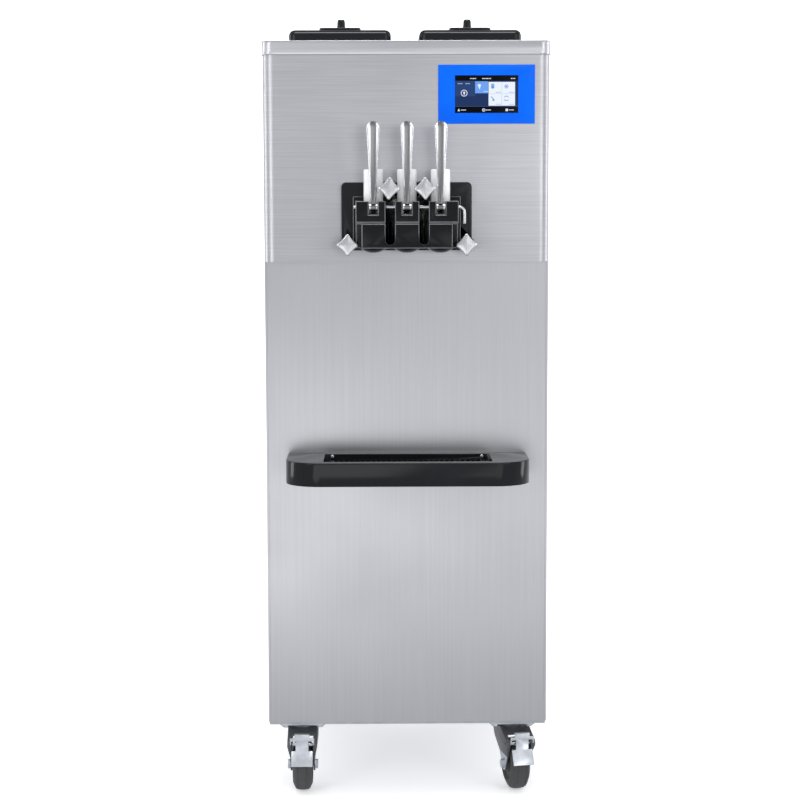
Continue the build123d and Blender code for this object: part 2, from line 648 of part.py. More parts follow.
# ---- refrigeration ---------------------------------------------------------------------------------
def compressor():
    """Domed compressor shell on its feet."""
    x, y = COMPRESSOR_AT
    low = CHASSIS_TOP + 18
    high = CHASSIS_TOP + COMPRESSOR_HEIGHT
    shell = rod_z(COMPRESSOR_R, x, y, low, high)
    shell = fillet(shell.edges().group_by(Axis.Z)[-1], 30)
    shell += rod_z(9, x + 40, y - 20, high - 10, high + 20)
    for side in (-1, 1):
        shell += block((x - 80, x + 80), (y + side * 55 - 12, y + side * 55 + 12), (low, low + 4))
        for end in (-1, 1):
            shell += rod_z(8, x + end * 68, y + side * 55, CHASSIS_TOP, low + 1)
    return shell


def fan_x():
    """Where the fan's blades start, inboard of the condenser."""
    return HALF - SHEET - CONDENSER_INSET - CONDENSER_THICK - FAN_GAP - FAN_WIDTH


def fan_z():
    """Height of the fan's axis."""
    return CHASSIS_TOP + CONDENSER_HEIGHT / 2


def condenser():
    """Finned core with its fan shroud and the fan's motor on a bracket."""
    x_high = HALF - SHEET - CONDENSER_INSET
    x_low = x_high - CONDENSER_THICK
    y = (CONDENSER_Y - CONDENSER_LENGTH / 2, CONDENSER_Y + CONDENSER_LENGTH / 2)
    z = (CHASSIS_TOP, CHASSIS_TOP + CONDENSER_HEIGHT)
    core = block((x_low, x_high), y, z)
    gaps = 15
    pitch = CONDENSER_LENGTH / (gaps + 1)
    for k in range(gaps):
        y_gap = y[0] + (k + 1) * pitch
        core -= block((x_high - 12, x_high + 1), (y_gap - 7, y_gap + 7), (z[0] + 15, z[1] - 15))
    core -= rod_x(FAN_R + 6, CONDENSER_Y, fan_z(), x_low - 1, x_low + 30)
    shroud = block((fan_x() - 2, x_low), y, z)
    shroud -= rod_x(FAN_R + 6, CONDENSER_Y, fan_z(), fan_x() - 3, x_low + 1)
    motor_x = fan_x() - 8
    motor = rod_x(38, CONDENSER_Y, fan_z(), motor_x - 60, motor_x)
    motor += block((motor_x - 40, motor_x - 30), (CONDENSER_Y - 20, CONDENSER_Y + 20),
                   (CHASSIS_TOP, fan_z()))
    motor -= rod_x(5 + RUN, CONDENSER_Y, fan_z(), motor_x - 20, motor_x + 1)
    return Compound(children=list((core + shroud).solids()) + list(motor.solids()))


def condenser_fan():
    """Five-blade fan with the stub shaft that enters its motor."""
    x = fan_x()
    fan = rod_x(FAN_HUB_R, CONDENSER_Y, fan_z(), x, x + FAN_WIDTH)
    blades = 5
    for k in range(blades):
        blade = Pos(x + FAN_WIDTH / 2, 0, (FAN_HUB_R + FAN_R) / 2 - FAN_ROOT) * (
            Rot(0, 0, FAN_PITCH) * Box(2.5, 50, FAN_R - FAN_HUB_R + FAN_ROOT))
        turned = Rot(360 * k / blades, 0, 0) * blade
        fan += Pos(0, CONDENSER_Y, fan_z()) * turned
    return fan + rod_x(5, CONDENSER_Y, fan_z(), x - 26, x + 2)


# ---- face plate and dispensing head --------------------------------------------------------------
def plate_bottom():
    """Lower edge of the face plate."""
    return HEAD_BOTTOM - PLATE_DROP


def stud_points():
    """(x, z, stem) of the four studs that hold the head."""
    return [(x, z, stem) for x, z, stem, _ in KNOBS.values()]


def face_plate():
    """Black plate round the cylinder mouths, edges eased at the front."""
    middle = plate_bottom() + PLATE_HEIGHT / 2
    plane = Plane(origin=(0, HOUSING_FRONT, middle), x_dir=(1, 0, 0), z_dir=(0, -1, 0))
    plate = extrude(plane * RectangleRounded(PLATE_WIDTH, PLATE_HEIGHT, PLATE_RADIUS), PLATE_THICK)
    plate = fillet(plate.faces().sort_by(Axis.Y)[0].edges(), 1.5)
    for side in (-1, 1):
        plate -= rod_y(BARREL_R, side * CYLINDER_X, CYLINDER_Z, PLATE_FRONT - 1, HOUSING_FRONT + 1)
    for x, z, _ in stud_points():
        plate -= rod_y(STUD_R + SLIP, x, z, PLATE_FRONT - 1, HOUSING_FRONT + 1)
    return plate


def head_studs():
    """Four studs standing out of the face plate."""
    studs = [rod_y(STUD_R, x, z, HOUSING_FRONT, FLANGE_FRONT - stem - 2)
             for x, z, stem in stud_points()]
    return Compound(children=[solid for stud in studs for solid in stud.solids()])


def dispensing_head():
    """Moulded head: flange with four ears, three blocks, plunger bores, slots and passages."""
    flange = block((-HEAD_FLANGE_HALF, HEAD_FLANGE_HALF), (FLANGE_FRONT, PLATE_FRONT),
                   (HEAD_BOTTOM, HEAD_FLANGE_TOP))
    for x, z, _ in stud_points():
        flange += rod_y(EAR_R, x, z, FLANGE_FRONT, PLATE_FRONT)
        toward = x * (1 - 14 / abs(x)) if z < CYLINDER_Z else x
        ear_x = sorted((x, toward)) if z < CYLINDER_Z else (x - EAR_R, x + EAR_R)
        ear_z = (z - EAR_R + 4, z + EAR_R) if z < CYLINDER_Z else (HEAD_FLANGE_TOP - 5, z)
        flange += block(ear_x, (FLANGE_FRONT, PLATE_FRONT), ear_z)
    body = block((-HEAD_HALF, HEAD_HALF), (HEAD_FRONT, FLANGE_FRONT), (HEAD_BOTTOM, HEAD_TOP))
    for side in (-1, 1):
        cut_x = sorted((side * CORNER_CUT_X, side * (HEAD_HALF + 1)))
        body -= block(cut_x, (HEAD_FRONT - 1, CORNER_CUT_Y), (HEAD_BOTTOM - 1, HEAD_GROOVE_Z - 1.5))
        x = side * SLOT_X
        slot_r = SLOT_WIDTH / 2
        slot_back = FLANGE_FRONT - 10
        body -= block((x - slot_r, x + slot_r), (HEAD_FRONT - 1, slot_back),
                      (SLOT_FLOOR + slot_r, HEAD_TOP + 1))
        body -= rod_y(slot_r, x, SLOT_FLOOR + slot_r, HEAD_FRONT - 1, slot_back)
        for rib in (-3.6, 3.6):
            body += block((x + rib - 0.7, x + rib + 0.7), (HEAD_FRONT + 14, slot_back),
                          (SLOT_FLOOR + 3, HEAD_GROOVE_Z + 2))
    groove = (HEAD_GROOVE_Z - HEAD_GROOVE / 2, HEAD_GROOVE_Z + HEAD_GROOVE / 2)
    body -= block((-HEAD_HALF - 1, HEAD_HALF + 1), (HEAD_FRONT - 1, HEAD_FRONT + HEAD_GROOVE), groove)
    head = flange + body
    for x in SPOUTS:
        head -= rod_z(PLUNGER_R + SLIP, x, PLUNGER_Y, SEAT_Z, HEAD_FLANGE_TOP + 1)
        head -= rod_z(NOZZLE_HOLE_R, x, PLUNGER_Y, HEAD_BOTTOM - 1, SEAT_Z + 1)
        notch = NOTCH_WIDTH / 2
        head -= block((x - notch, x + notch), (HEAD_FRONT - 1, PLUNGER_Y), (NOTCH_FLOOR, HEAD_TOP + 1))
        head -= block((x - notch - 1.5, x + notch + 1.5), (HEAD_FRONT - 1, HEAD_FRONT + 2),
                      (NOTCH_FLOOR - 2.5, NOTCH_FLOOR))
    head -= rod_x(PIN_R + RUN, PIN_Y, PIN_Z, -HEAD_HALF - 1, HEAD_HALF + 1)
    for side in (-1, 1):
        x = side * CYLINDER_X
        head -= rod_y(BARREL_R - 2, x, CYLINDER_Z, PLATE_FRONT - 6, PLATE_FRONT + 1)
        ring = rod_y(SEAL_OUT, x, CYLINDER_Z, PLATE_FRONT - SEAL_DEPTH, PLATE_FRONT + 1)
        head -= ring - rod_y(SEAL_IN, x, CYLINDER_Z, PLATE_FRONT - SEAL_DEPTH, PLATE_FRONT + 1)
        head -= rod_y(PASSAGE_R, side * SPOUT_PITCH, PASSAGE_Z, PLUNGER_Y, PLATE_FRONT - 4)
        head -= rod(PASSAGE_R, (side * 34, PLATE_FRONT - 5, PASSAGE_Z), (side * 4, PLUNGER_Y, PASSAGE_Z))
    for x, z, _ in stud_points():
        head -= rod_y(STUD_R + SLIP, x, z, FLANGE_FRONT - 1, PLATE_FRONT + 1)
    return head


def head_seals():
    """Flat rubber rings between the head and the face plate."""
    rings = [tube_y(SEAL_OUT - SLIP, SEAL_IN + SLIP, side * CYLINDER_X, CYLINDER_Z,
                    PLATE_FRONT - SEAL_DEPTH + 0.1, PLATE_FRONT) for side in (-1, 1)]
    return Compound(children=[solid for ring in rings for solid in ring.solids()])


def nozzle_caps():
    """Three domed caps with star outlets under the head."""
    sphere_r = (NOZZLE_R ** 2 + NOZZLE_DROP ** 2) / (2 * NOZZLE_DROP)
    caps = []
    for x in SPOUTS:
        ball = Pos(x, PLUNGER_Y, HEAD_BOTTOM - NOZZLE_DROP + sphere_r) * Sphere(sphere_r)
        cap = ball & block((x - 40, x + 40), (PLUNGER_Y - 40, PLUNGER_Y + 40),
                           (HEAD_BOTTOM - 20, HEAD_BOTTOM))
        cap -= rod_z(5, x, PLUNGER_Y, HEAD_BOTTOM - 20, HEAD_BOTTOM + 1)
        points = 6
        for k in range(points):
            arm = Pos(x, PLUNGER_Y, HEAD_BOTTOM - 10) * (Rot(0, 0, 360 * k / points) * (
                Pos(5, 0, 0) * Box(6, 2.4, 30)))
            cap -= arm
        caps.append(cap)
    return Compound(children=[solid for cap in caps for solid in cap.solids()])


def toe_point():
    """Where a lever's toe ball sits at rest, as (y, z)."""
    angle = radians(TOE_ANGLE)
    return PIN_Y + TOE_ARM * cos(angle), PIN_Z - TOE_ARM * sin(angle)


def plunger(x):
    """Valve plunger with the flared window that the lever's toe lifts it by."""
    _, toe_z = toe_point()
    body = rod_z(PLUNGER_R, x, PLUNGER_Y, SEAT_Z + SLIP, PLUNGER_TOP)
    body = fillet(body.edges().group_by(Axis.Z)[-1], 2)
    near = TOE_R + TOE_GAP
    front = PLUNGER_Y - PLUNGER_R - 2
    window = extrude_x([(front, toe_z - 11.5), (PLUNGER_Y - 6, toe_z - near), (PLUNGER_Y + 5, toe_z - near),
                        (PLUNGER_Y + 5, toe_z + near), (PLUNGER_Y - 6, toe_z + near),
                        (front, toe_z + 11.5)], x - 7, x + 7)
    return body - window


def lever(x):
    """Draw lever: fork on the pin, toe ball behind, neck and a spoon-shaped handle."""
    toe_y, toe_z = toe_point()
    arm = rod_x(FORK_R, PIN_Y, PIN_Z, x - FORK_WIDTH / 2, x + FORK_WIDTH / 2)
    arm += rod(TOE_ROD_R, (x, PIN_Y, PIN_Z), (x, toe_y, toe_z))
    arm += Pos(x, toe_y, toe_z) * Sphere(TOE_R)
    neck_top = PIN_Z + 30
    arm += block((x - NECK_WIDTH / 2, x + NECK_WIDTH / 2), (PIN_Y - 8, PIN_Y + 1), (PIN_Z, neck_top))
    heights = (22.0, 50.0, 90.0, 125.0, LEVER_LENGTH - LEVER_TIP_R, LEVER_LENGTH)
    widths = (12.0, 13.5, 18.0, 22.0, 2 * LEVER_TIP_R, 2 * LEVER_TIP_R)
    sections = []
    for height, width in zip(heights, widths):
        share = (height - heights[0]) / (heights[-1] - heights[0])
        y = PIN_Y - 4 - LEVER_LEAN * share ** 1.5
        section = RectangleRounded(width, LEVER_THICK, LEVER_THICK / 2 - 0.8)
        sections.append(Pos(x, y, PIN_Z + height) * section)
    handle = loft(sections)
    tip = PIN_Z + LEVER_LENGTH - LEVER_TIP_R
    trim = block((x - 20, x + 20), (PIN_Y - 60, PIN_Y + 20), (PIN_Z, tip))
    trim += rod_y(LEVER_TIP_R + 0.1, x, tip, PIN_Y - 60, PIN_Y + 20)
    arm += handle & trim
    return arm - rod_x(PIN_R + RUN, PIN_Y, PIN_Z, x - 20, x + 20)


def pivot_pin():
    """Bent pin through all three blocks and levers."""
    path = FilletPolyline((PIN_LEFT, PIN_Y, PIN_Z), (PIN_RIGHT, PIN_Y, PIN_Z),
                          (PIN_RIGHT, PIN_Y, PIN_Z - PIN_DROP), radius=PIN_BEND)
    return sweep(Plane(origin=path @ 0, z_dir=path % 0) * Circle(PIN_R), path=path)


def star_outline():
    """Four-pointed outline with hollow sides."""
    a, b, t = STAR_HALF_WIDTH, STAR_HALF_HEIGHT, STAR_TIP
    w = STAR_WAIST
    edges = []
    for sx, sy in ((1, 1), (-1, 1), (-1, -1), (1, -1)):
        side_tip = (sx * a, sy * t)
        end_tip = (sx * t, sy * b)
        waist = (sx * a * w, sy * b * w)
        first, last = (side_tip, end_tip) if sx * sy > 0 else (end_tip, side_tip)
        edges.append(ThreePointArc(first, waist, last))
    corners = [edge @ 1 for edge in edges]
    starts = [edge @ 0 for edge in edges]
    for k, corner in enumerate(corners):
        edges.append(Line(corner, starts[(k + 1) % 4]))
    return make_face(edges)


def star_knob(name):
    """Polished four-pointed knob on a round stem, bored for its stud."""
    x, z, stem, turn = KNOBS[name]
    back = FLANGE_FRONT - SLIP
    star_back = FLANGE_FRONT - stem
    plane = Plane(origin=(x, star_back, z), x_dir=(1, 0, 0), z_dir=(0, -1, 0))
    knob = extrude(plane * (Rot(0, 0, turn) * star_outline()), STAR_THICK)
    knob = chamfer(knob.faces().sort_by(Axis.Y)[0].edges(), 1.2)
    knob += rod_y(KNOB_STEM_R, x, z, star_back - 2, back)
    return knob - rod_y(STUD_R + RUN, x, z, star_back - 4, back + 1)


# ---- display ---------------------------------------------------------------------------------------
def display_frame(width, height, y_low, y_high):
    """A block centred on the display."""
    return block((DISPLAY_X - width / 2, DISPLAY_X + width / 2), (y_low, y_high),
                 (DISPLAY_Z - height / 2, DISPLAY_Z + height / 2))


def display_bezel():
    """Coloured panel round the screen."""
    bezel = display_frame(BEZEL_WIDTH, BEZEL_HEIGHT, HOUSING_FRONT - BEZEL_THICK, HOUSING_FRONT)
    bezel = chamfer(bezel.faces().sort_by(Axis.Y)[0].edges(), 0.8)
    return bezel - display_frame(SCREEN_WIDTH, SCREEN_HEIGHT, HOUSING_FRONT - 10, HOUSING_FRONT + 5)


def display_screen():
    """Glass-fronted screen sunk a little into the bezel."""
    front = HOUSING_FRONT - BEZEL_THICK + SCREEN_SUNK
    return display_frame(SCREEN_WIDTH, SCREEN_HEIGHT, front, front + SCREEN_THICK)


def control_box():
    """Shallow electrics box behind the display."""
    front = HOUSING_FRONT - BEZEL_THICK + SCREEN_SUNK + SCREEN_THICK + 1
    size = (BEZEL_WIDTH - 14, BEZEL_HEIGHT - 14)
    box = display_frame(*size, front, front + 50)
    return box - display_frame(size[0] - 2 * SHEET, size[1] - 2 * SHEET, front - 1, front + 50 - SHEET)


# ---- drip tray -------------------------------------------------------------------------------------
def tray_top():
    """Upper face of the drip tray."""
    return TRAY_BOTTOM + TRAY_HEIGHT


def tray_screw_z():
    """Height of the two screws that hold the tray."""
    return tray_top() - TRAY_SCREW_DROP


def well_faces():
    """Front and back walls of the tray's well, and its floor."""
    return TRAY_FRONT + WELL_FRONT_RIM, FRONT - WELL_BACK_RIM, tray_top() - WELL_DEPTH


def drip_tray():
    """Moulded shelf with big front corners, open below, with a sunk well in its top."""
    front, back, floor = well_faces()
    outline = front_rounded(TRAY_HALF, TRAY_FRONT, FRONT, TRAY_RADIUS)
    tray = extrude_up(outline, TRAY_BOTTOM, tray_top())
    tray = fillet(tray.edges().group_by(Axis.Z)[-1].sort_by(Axis.Y)[:-1], 2)
    inner = front_rounded(TRAY_HALF - TRAY_WALL, TRAY_FRONT + TRAY_WALL, FRONT - TRAY_WALL,
                          TRAY_RADIUS - TRAY_WALL)
    tray -= extrude_up(inner, TRAY_BOTTOM - 1, tray_top() - TRAY_WALL)
    wall = TRAY_WALL
    tray += block((-WELL_HALF - wall, WELL_HALF + wall), (front - wall, back + wall),
                  (floor - wall, tray_top() - 1))
    tray -= block((-WELL_HALF, WELL_HALF), (front, back), (floor, tray_top() + 1))
    for side in (-1, 1):
        tray -= rod_y(SCREW_R + SCREW_CLEARANCE, side * TRAY_SCREW_X, tray_screw_z(),
                      back - 1, FRONT + 1)
    return tray


def drip_pan():
    """Lift-out pan that lies in the well."""
    front, back, floor = well_faces()
    x = WELL_HALF - PAN_GAP
    y = (front + PAN_GAP, back - SCREW_CLEAR)
    z = (floor + SLIP, floor + PAN_HEIGHT)
    wall = PAN_WALL
    return block((-x, x), y, z) - block((wall - x, x - wall), (y[0] + wall, y[1] - wall),
                                        (z[0] + wall, z[1] + 1))


def drip_grid():
    """Slotted cover that lies on the pan's rim."""
    front, back, floor = well_faces()
    x = WELL_HALF - PAN_GAP
    y = (front + PAN_GAP, back - SCREW_CLEAR)
    low = floor + PAN_HEIGHT + SLIP
    grid = block((-x, x), y, (low, low + GRID_THICK))
    slots = int((2 * x - 30) / GRID_PITCH)
    start = -(slots - 1) * GRID_PITCH / 2
    for k in range(slots):
        middle = start + k * GRID_PITCH
        grid -= block((middle - GRID_SLOT / 2, middle + GRID_SLOT / 2), (y[0] + 12, y[1] - 12),
                      (low - 1, low + GRID_THICK + 1))
    return grid


# ---- fasteners and gland -------------------------------------------------------------------------
def panel_screws():
    """Pan-head screws: rear panel to posts, and drip tray to front panel."""
    screws = []
    for x, z in rear_screw_points():
        screws.append(rod_y(SCREW_HEAD_R, x, z, BACK, BACK + SCREW_HEAD)
                      + rod_y(SCREW_R, x, z, BACK - 8, BACK + 1))
    back = well_faces()[1]
    for side in (-1, 1):
        x = side * TRAY_SCREW_X
        z = tray_screw_z()
        screws.append(rod_y(SCREW_HEAD_R, x, z, back - SCREW_HEAD, back)
                      + rod_y(SCREW_R, x, z, back - 1, FRONT + 4))
    return Compound(children=[solid for screw in screws for solid in screw.solids()])


def cable_gland():
    """Hexagonal gland with a clear bore for the supply cable."""
    nut = Pos(GLAND_X, BACK, GLAND_Z) * (Rot(-90, 0, 0) * extrude(
        RegularPolygon(GLAND_R, 6, major_radius=False), 7))
    gland = nut + rod_y(GLAND_R - 3, GLAND_X, GLAND_Z, BACK + 6, BACK + GLAND_REACH)
    gland += rod_y(GLAND_THREAD_R - 0.1, GLAND_X, GLAND_Z, BACK - 12, BACK + 1)
    return gland - rod_y(GLAND_BORE_R, GLAND_X, GLAND_Z, BACK - 13, BACK + GLAND_REACH + 1)


# ---- casters ---------------------------------------------------------------------------------------
def place_caster(name, shape):
    """Turn a shape about its swivel axis and set it under the chassis."""
    x, y = caster_at(name)
    return Pos(x, y, 0) * (Rot(0, 0, CASTERS[name][2]) * shape)


def hexagon_x(across, x_from, x_to, y, z):
    """A hexagonal head along X."""
    plane = Plane(origin=(x_from, y, z), x_dir=(0, 1, 0), z_dir=(1, 0, 0))
    return extrude(plane * RegularPolygon(across / 2, 6, major_radius=False), x_to - x_from)


def caster_plates():
    """Top plates with their races and kingpins, and the bolts that hold them."""
    solids = []
    top = CASTER_HEIGHT
    race_low = top - PLATE_SHEET - RACE_HEIGHT
    crown_low = race_low - CROWN_HEIGHT
    for name in CASTERS:
        x, y = caster_at(name)
        plate = rounded_box(x, y, PLATE_SIZE, PLATE_SIZE, 6, top - PLATE_SHEET, top)
        plate += rod_z(RACE_R, x, y, race_low, top - 1)
        plate += rod_z(KINGPIN_R, x, y, crown_low - 8, race_low + 1)
        plate += rod_z(KINGPIN_R + 5, x, y, crown_low - 8, crown_low - SLIP)
        for dx in (-PLATE_BOLT, PLATE_BOLT):
            for dy in (-PLATE_BOLT, PLATE_BOLT):
                plate -= rod_z(PLATE_BOLT_R + SLIP, x + dx, y + dy, top - 10, top + 1)
        solids += list(plate.solids())
    for x, y in plate_bolt_points():
        bolt = Pos(x, y, top - PLATE_SHEET - 5) * extrude(
            RegularPolygon(6.5, 6, major_radius=False), 5)
        bolt += rod_z(PLATE_BOLT_R, x, y, top - PLATE_SHEET - 1, CHASSIS_TOP + 6)
        solids += list(bolt.solids())
    return Compound(children=solids)


def fork_profile():
    """Side outline of the fork: crown, pedal lobe and axle eye, wrapped together."""
    race_low = CASTER_HEIGHT - PLATE_SHEET - RACE_HEIGHT
    top = race_low - SLIP
    crown = Pos(-2.0, top - CROWN_HEIGHT / 2) * Rectangle(2 * CROWN_R - 2, CROWN_HEIGHT)
    lobe = Pos(PEDAL_PIN_Y, PEDAL_PIN_Z) * Circle(8)
    eye = Pos(-CASTER_TRAIL, WHEEL_R) * Circle(13)
    return make_hull(crown.edges() + lobe.edges() + eye.edges())


def caster_fork(name):
    """Shouldered fork with its axle bolt; the crown turns on the kingpin."""
    race_low = CASTER_HEIGHT - PLATE_SHEET - RACE_HEIGHT
    top = race_low - SLIP
    crown_low = race_low - CROWN_HEIGHT
    side_plane = Plane(origin=(-CROWN_R, 0, 0), x_dir=(0, 1, 0), z_dir=(1, 0, 0))
    fork = extrude(side_plane * fork_profile(), 2 * CROWN_R)
    shoulder = [(-CHEEK_OUT, WHEEL_R + 19), (-CROWN_R, crown_low - 17), (-CROWN_R, top + 1),
                (CROWN_R, top + 1), (CROWN_R, crown_low - 17), (CHEEK_OUT, WHEEL_R + 19),
                (CHEEK_OUT, 10), (-CHEEK_OUT, 10)]
    wire = Polyline(*[(x, -150, z) for x, z in shoulder], close=True)
    fork &= extrude(make_face(wire), amount=300, dir=(0, 1, 0))
    fork -= block((-CHEEK_IN, CHEEK_IN), (-150, 150), (0, crown_low))
    fork -= rod_z(KINGPIN_R + RUN, 0, 0, crown_low - 1, top + 1)
    fork -= rod_x(AXLE_R + RUN, -CASTER_TRAIL, WHEEL_R, -40, 40)
    fork -= rod_x(PEDAL_PIN_R + RUN, PEDAL_PIN_Y, PEDAL_PIN_Z, -40, 40)
    axle = rod_x(AXLE_R, -CASTER_TRAIL, WHEEL_R, -CHEEK_OUT - 1, CHEEK_OUT + 1)
    axle += hexagon_x(16, -CHEEK_OUT - BOLT_REACH, -CHEEK_OUT, -CASTER_TRAIL, WHEEL_R)
    axle += hexagon_x(16, CHEEK_OUT, CHEEK_OUT + BOLT_REACH, -CASTER_TRAIL, WHEEL_R)
    solids = list(fork.solids()) + list(axle.solids())
    return place_caster(name, Compound(children=solids))


def caster_wheel(name):
    """Wheel with a rounded tread, bored to run on its axle."""
    half, tread = WHEEL_WIDTH / 2, TREAD_WIDTH / 2
    bore = AXLE_R + RUN
    right = Polyline((bore, -half), (WHEEL_R * 0.3, -half), (WHEEL_R * 0.3, -half + 4),
                     (WHEEL_R * 0.6, -half + 4), (WHEEL_R * 0.66, -half), (WHEEL_R * 0.74, -half),
                     (WHEEL_R - 4, -tread))
    crown = ThreePointArc((WHEEL_R - 4, -tread), (WHEEL_R, 0), (WHEEL_R - 4, tread))
    left = Polyline((WHEEL_R - 4, tread), (WHEEL_R * 0.74, half), (WHEEL_R * 0.66, half),
                    (WHEEL_R * 0.6, half - 4), (WHEEL_R * 0.3, half - 4), (WHEEL_R * 0.3, half),
                    (bore, half))
    face = make_face(right.edges() + crown.edges() + left.edges() + Line((bore, half), (bore, -half)).edges())
    wheel = revolve(face, Axis.Y)
    turned = Pos(0, -CASTER_TRAIL, WHEEL_R) * (Rot(0, 0, 90) * wheel)
    return place_caster(name, turned)


def brake_pedal(name):
    """Rocker pedal: upper tab, stem with a hooked cross piece, and the foot plate."""
    y, z, t = PEDAL_PIN_Y, PEDAL_PIN_Z, PEDAL_SHEET
    face = y - PEDAL_FACE
    pedal = rod_x(PEDAL_PIN_R, y, z, -CHEEK_OUT + 0.5, CHEEK_OUT - 0.5)
    pedal += block((-STEM_HALF, STEM_HALF), (face, y), (z - 2, z + 2))
    pedal += block((-STEM_HALF, STEM_HALF), (face - t, face), (z - 10, z + 12))
    pedal += block((-CROSS_HALF, CROSS_HALF), (face - t, face), (z + 11, z + 17))
    for side in (-1, 1):
        hook_x = sorted((side * (CROSS_HALF - t), side * CROSS_HALF))
        pedal += block(hook_x, (face - t, face), (z + 4, z + 12))
    pedal += block((-TAB_HALF, TAB_HALF), (face - t, face), (z + 16, z + 24))
    pedal += block((-TAB_HALF, TAB_HALF), (face - t, face + 6), (z + 24 - t, z + 24))
    pedal += extrude_x([(face, z - 10), (face - 14, z - 36), (face - 14 - t, z - 35), (face - t, z - 8)],
                       -FOOT_HALF, FOOT_HALF)
    return place_caster(name, pedal)


# ---- every sub-part by node name -----------------------------------------------------------------
def all_parts():
    """Each node's name and solid, in building order."""
    parts = {
        "base_chassis": base_chassis(),
        "inner_frame": inner_frame(),
        "lower_front_panel": lower_front_panel(),
        "rear_panel": rear_panel(),
        "upper_housing": upper_housing(),
        "top_deck": top_deck(),
        "gearboxes": gearboxes(),
        "motor_pulley": motor_pulley(),
        "drive_belts": drive_belts(),
        "drive_motor": drive_motor(),
        "compressor": compressor(),
        "condenser": condenser(),
        "condenser_fan": condenser_fan(),
        "face_plate": face_plate(),
        "head_studs": head_studs(),
        "dispensing_head": dispensing_head(),
        "head_seals": head_seals(),
        "nozzle_caps": nozzle_caps(),
        "pivot_pin": pivot_pin(),
        "display_bezel": display_bezel(),
        "display_screen": display_screen(),
        "control_box": control_box(),
        "drip_tray": drip_tray(),
        "drip_pan": drip_pan(),
        "drip_grid": drip_grid(),
        "panel_screws": panel_screws(),
        "cable_gland": cable_gland(),
        "caster_plates": caster_plates(),
    }
    for name, side in SIDES.items():
        parts[f"{name}_side_panel"] = side_panel(side)
        parts[f"hopper_{name}"] = hopper(side)
        parts[f"hopper_lid_{name}"] = hopper_lid(side)
        parts[f"freezing_cylinder_{name}"] = freezing_cylinder(side)
        parts[f"beater_{name}"] = beater(side)
        parts[f"gearbox_pulley_{name}"] = gearbox_pulley(side)
    for name, x in SPOUT_NAMES.items():
        parts[f"plunger_{name}"] = plunger(x)
        parts[f"lever_{name}"] = lever(x)
    for name in KNOBS:
        parts[f"star_knob_{name}"] = star_knob(name)
    for name in CASTERS:
        parts[f"caster_fork_{name}"] = caster_fork(name)
        parts[f"caster_wheel_{name}"] = caster_wheel(name)
    for name in BRAKED:
        parts[f"brake_pedal_{name}"] = brake_pedal(name)
    return parts


os.makedirs("parts", exist_ok=True)
for node, shape in all_parts().items():
    export_step(shape, f"parts/{node}.step")
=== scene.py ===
"""Looks of a floor-standing soft serve machine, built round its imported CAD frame.

Units are metres in the frame of the CAD model: +Z up, the operator stands on the -Y side.
"""

import json
import logging
import math
from dataclasses import dataclass, field
from enum import Enum
from typing import Callable, Iterable, Sequence

import bmesh
import bpy
from mathutils import Matrix, Vector


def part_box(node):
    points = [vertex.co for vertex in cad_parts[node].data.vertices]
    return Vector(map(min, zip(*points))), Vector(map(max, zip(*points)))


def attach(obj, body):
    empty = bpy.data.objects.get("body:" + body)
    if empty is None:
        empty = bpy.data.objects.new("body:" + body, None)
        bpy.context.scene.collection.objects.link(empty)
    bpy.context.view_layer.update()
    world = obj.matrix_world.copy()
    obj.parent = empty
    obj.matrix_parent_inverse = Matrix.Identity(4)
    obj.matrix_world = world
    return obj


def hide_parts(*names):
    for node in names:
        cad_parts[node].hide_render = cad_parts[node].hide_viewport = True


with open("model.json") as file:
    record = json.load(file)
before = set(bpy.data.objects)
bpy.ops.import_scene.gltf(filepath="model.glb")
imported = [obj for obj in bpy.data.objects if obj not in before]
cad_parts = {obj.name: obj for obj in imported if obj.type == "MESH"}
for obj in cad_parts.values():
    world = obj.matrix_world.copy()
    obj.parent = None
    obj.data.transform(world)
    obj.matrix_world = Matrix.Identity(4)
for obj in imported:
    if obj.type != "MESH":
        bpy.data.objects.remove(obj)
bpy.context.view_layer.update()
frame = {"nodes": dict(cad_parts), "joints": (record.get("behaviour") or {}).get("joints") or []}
LOG = logging.getLogger("soft_serve")
Colour = tuple[float, float, float]
Ring = list[Vector]
MM = 0.001
NOISE_SWING = (0.3, 0.7)


class Grain(Enum):
    """Direction that a sheet was brushed in, as the scale of its noise along X, Y and Z."""

    ACROSS = (7.0, 7.0, 420.0)
    UPRIGHT = (260.0, 260.0, 3.0)
    FLAT = (3.0, 260.0, 260.0)


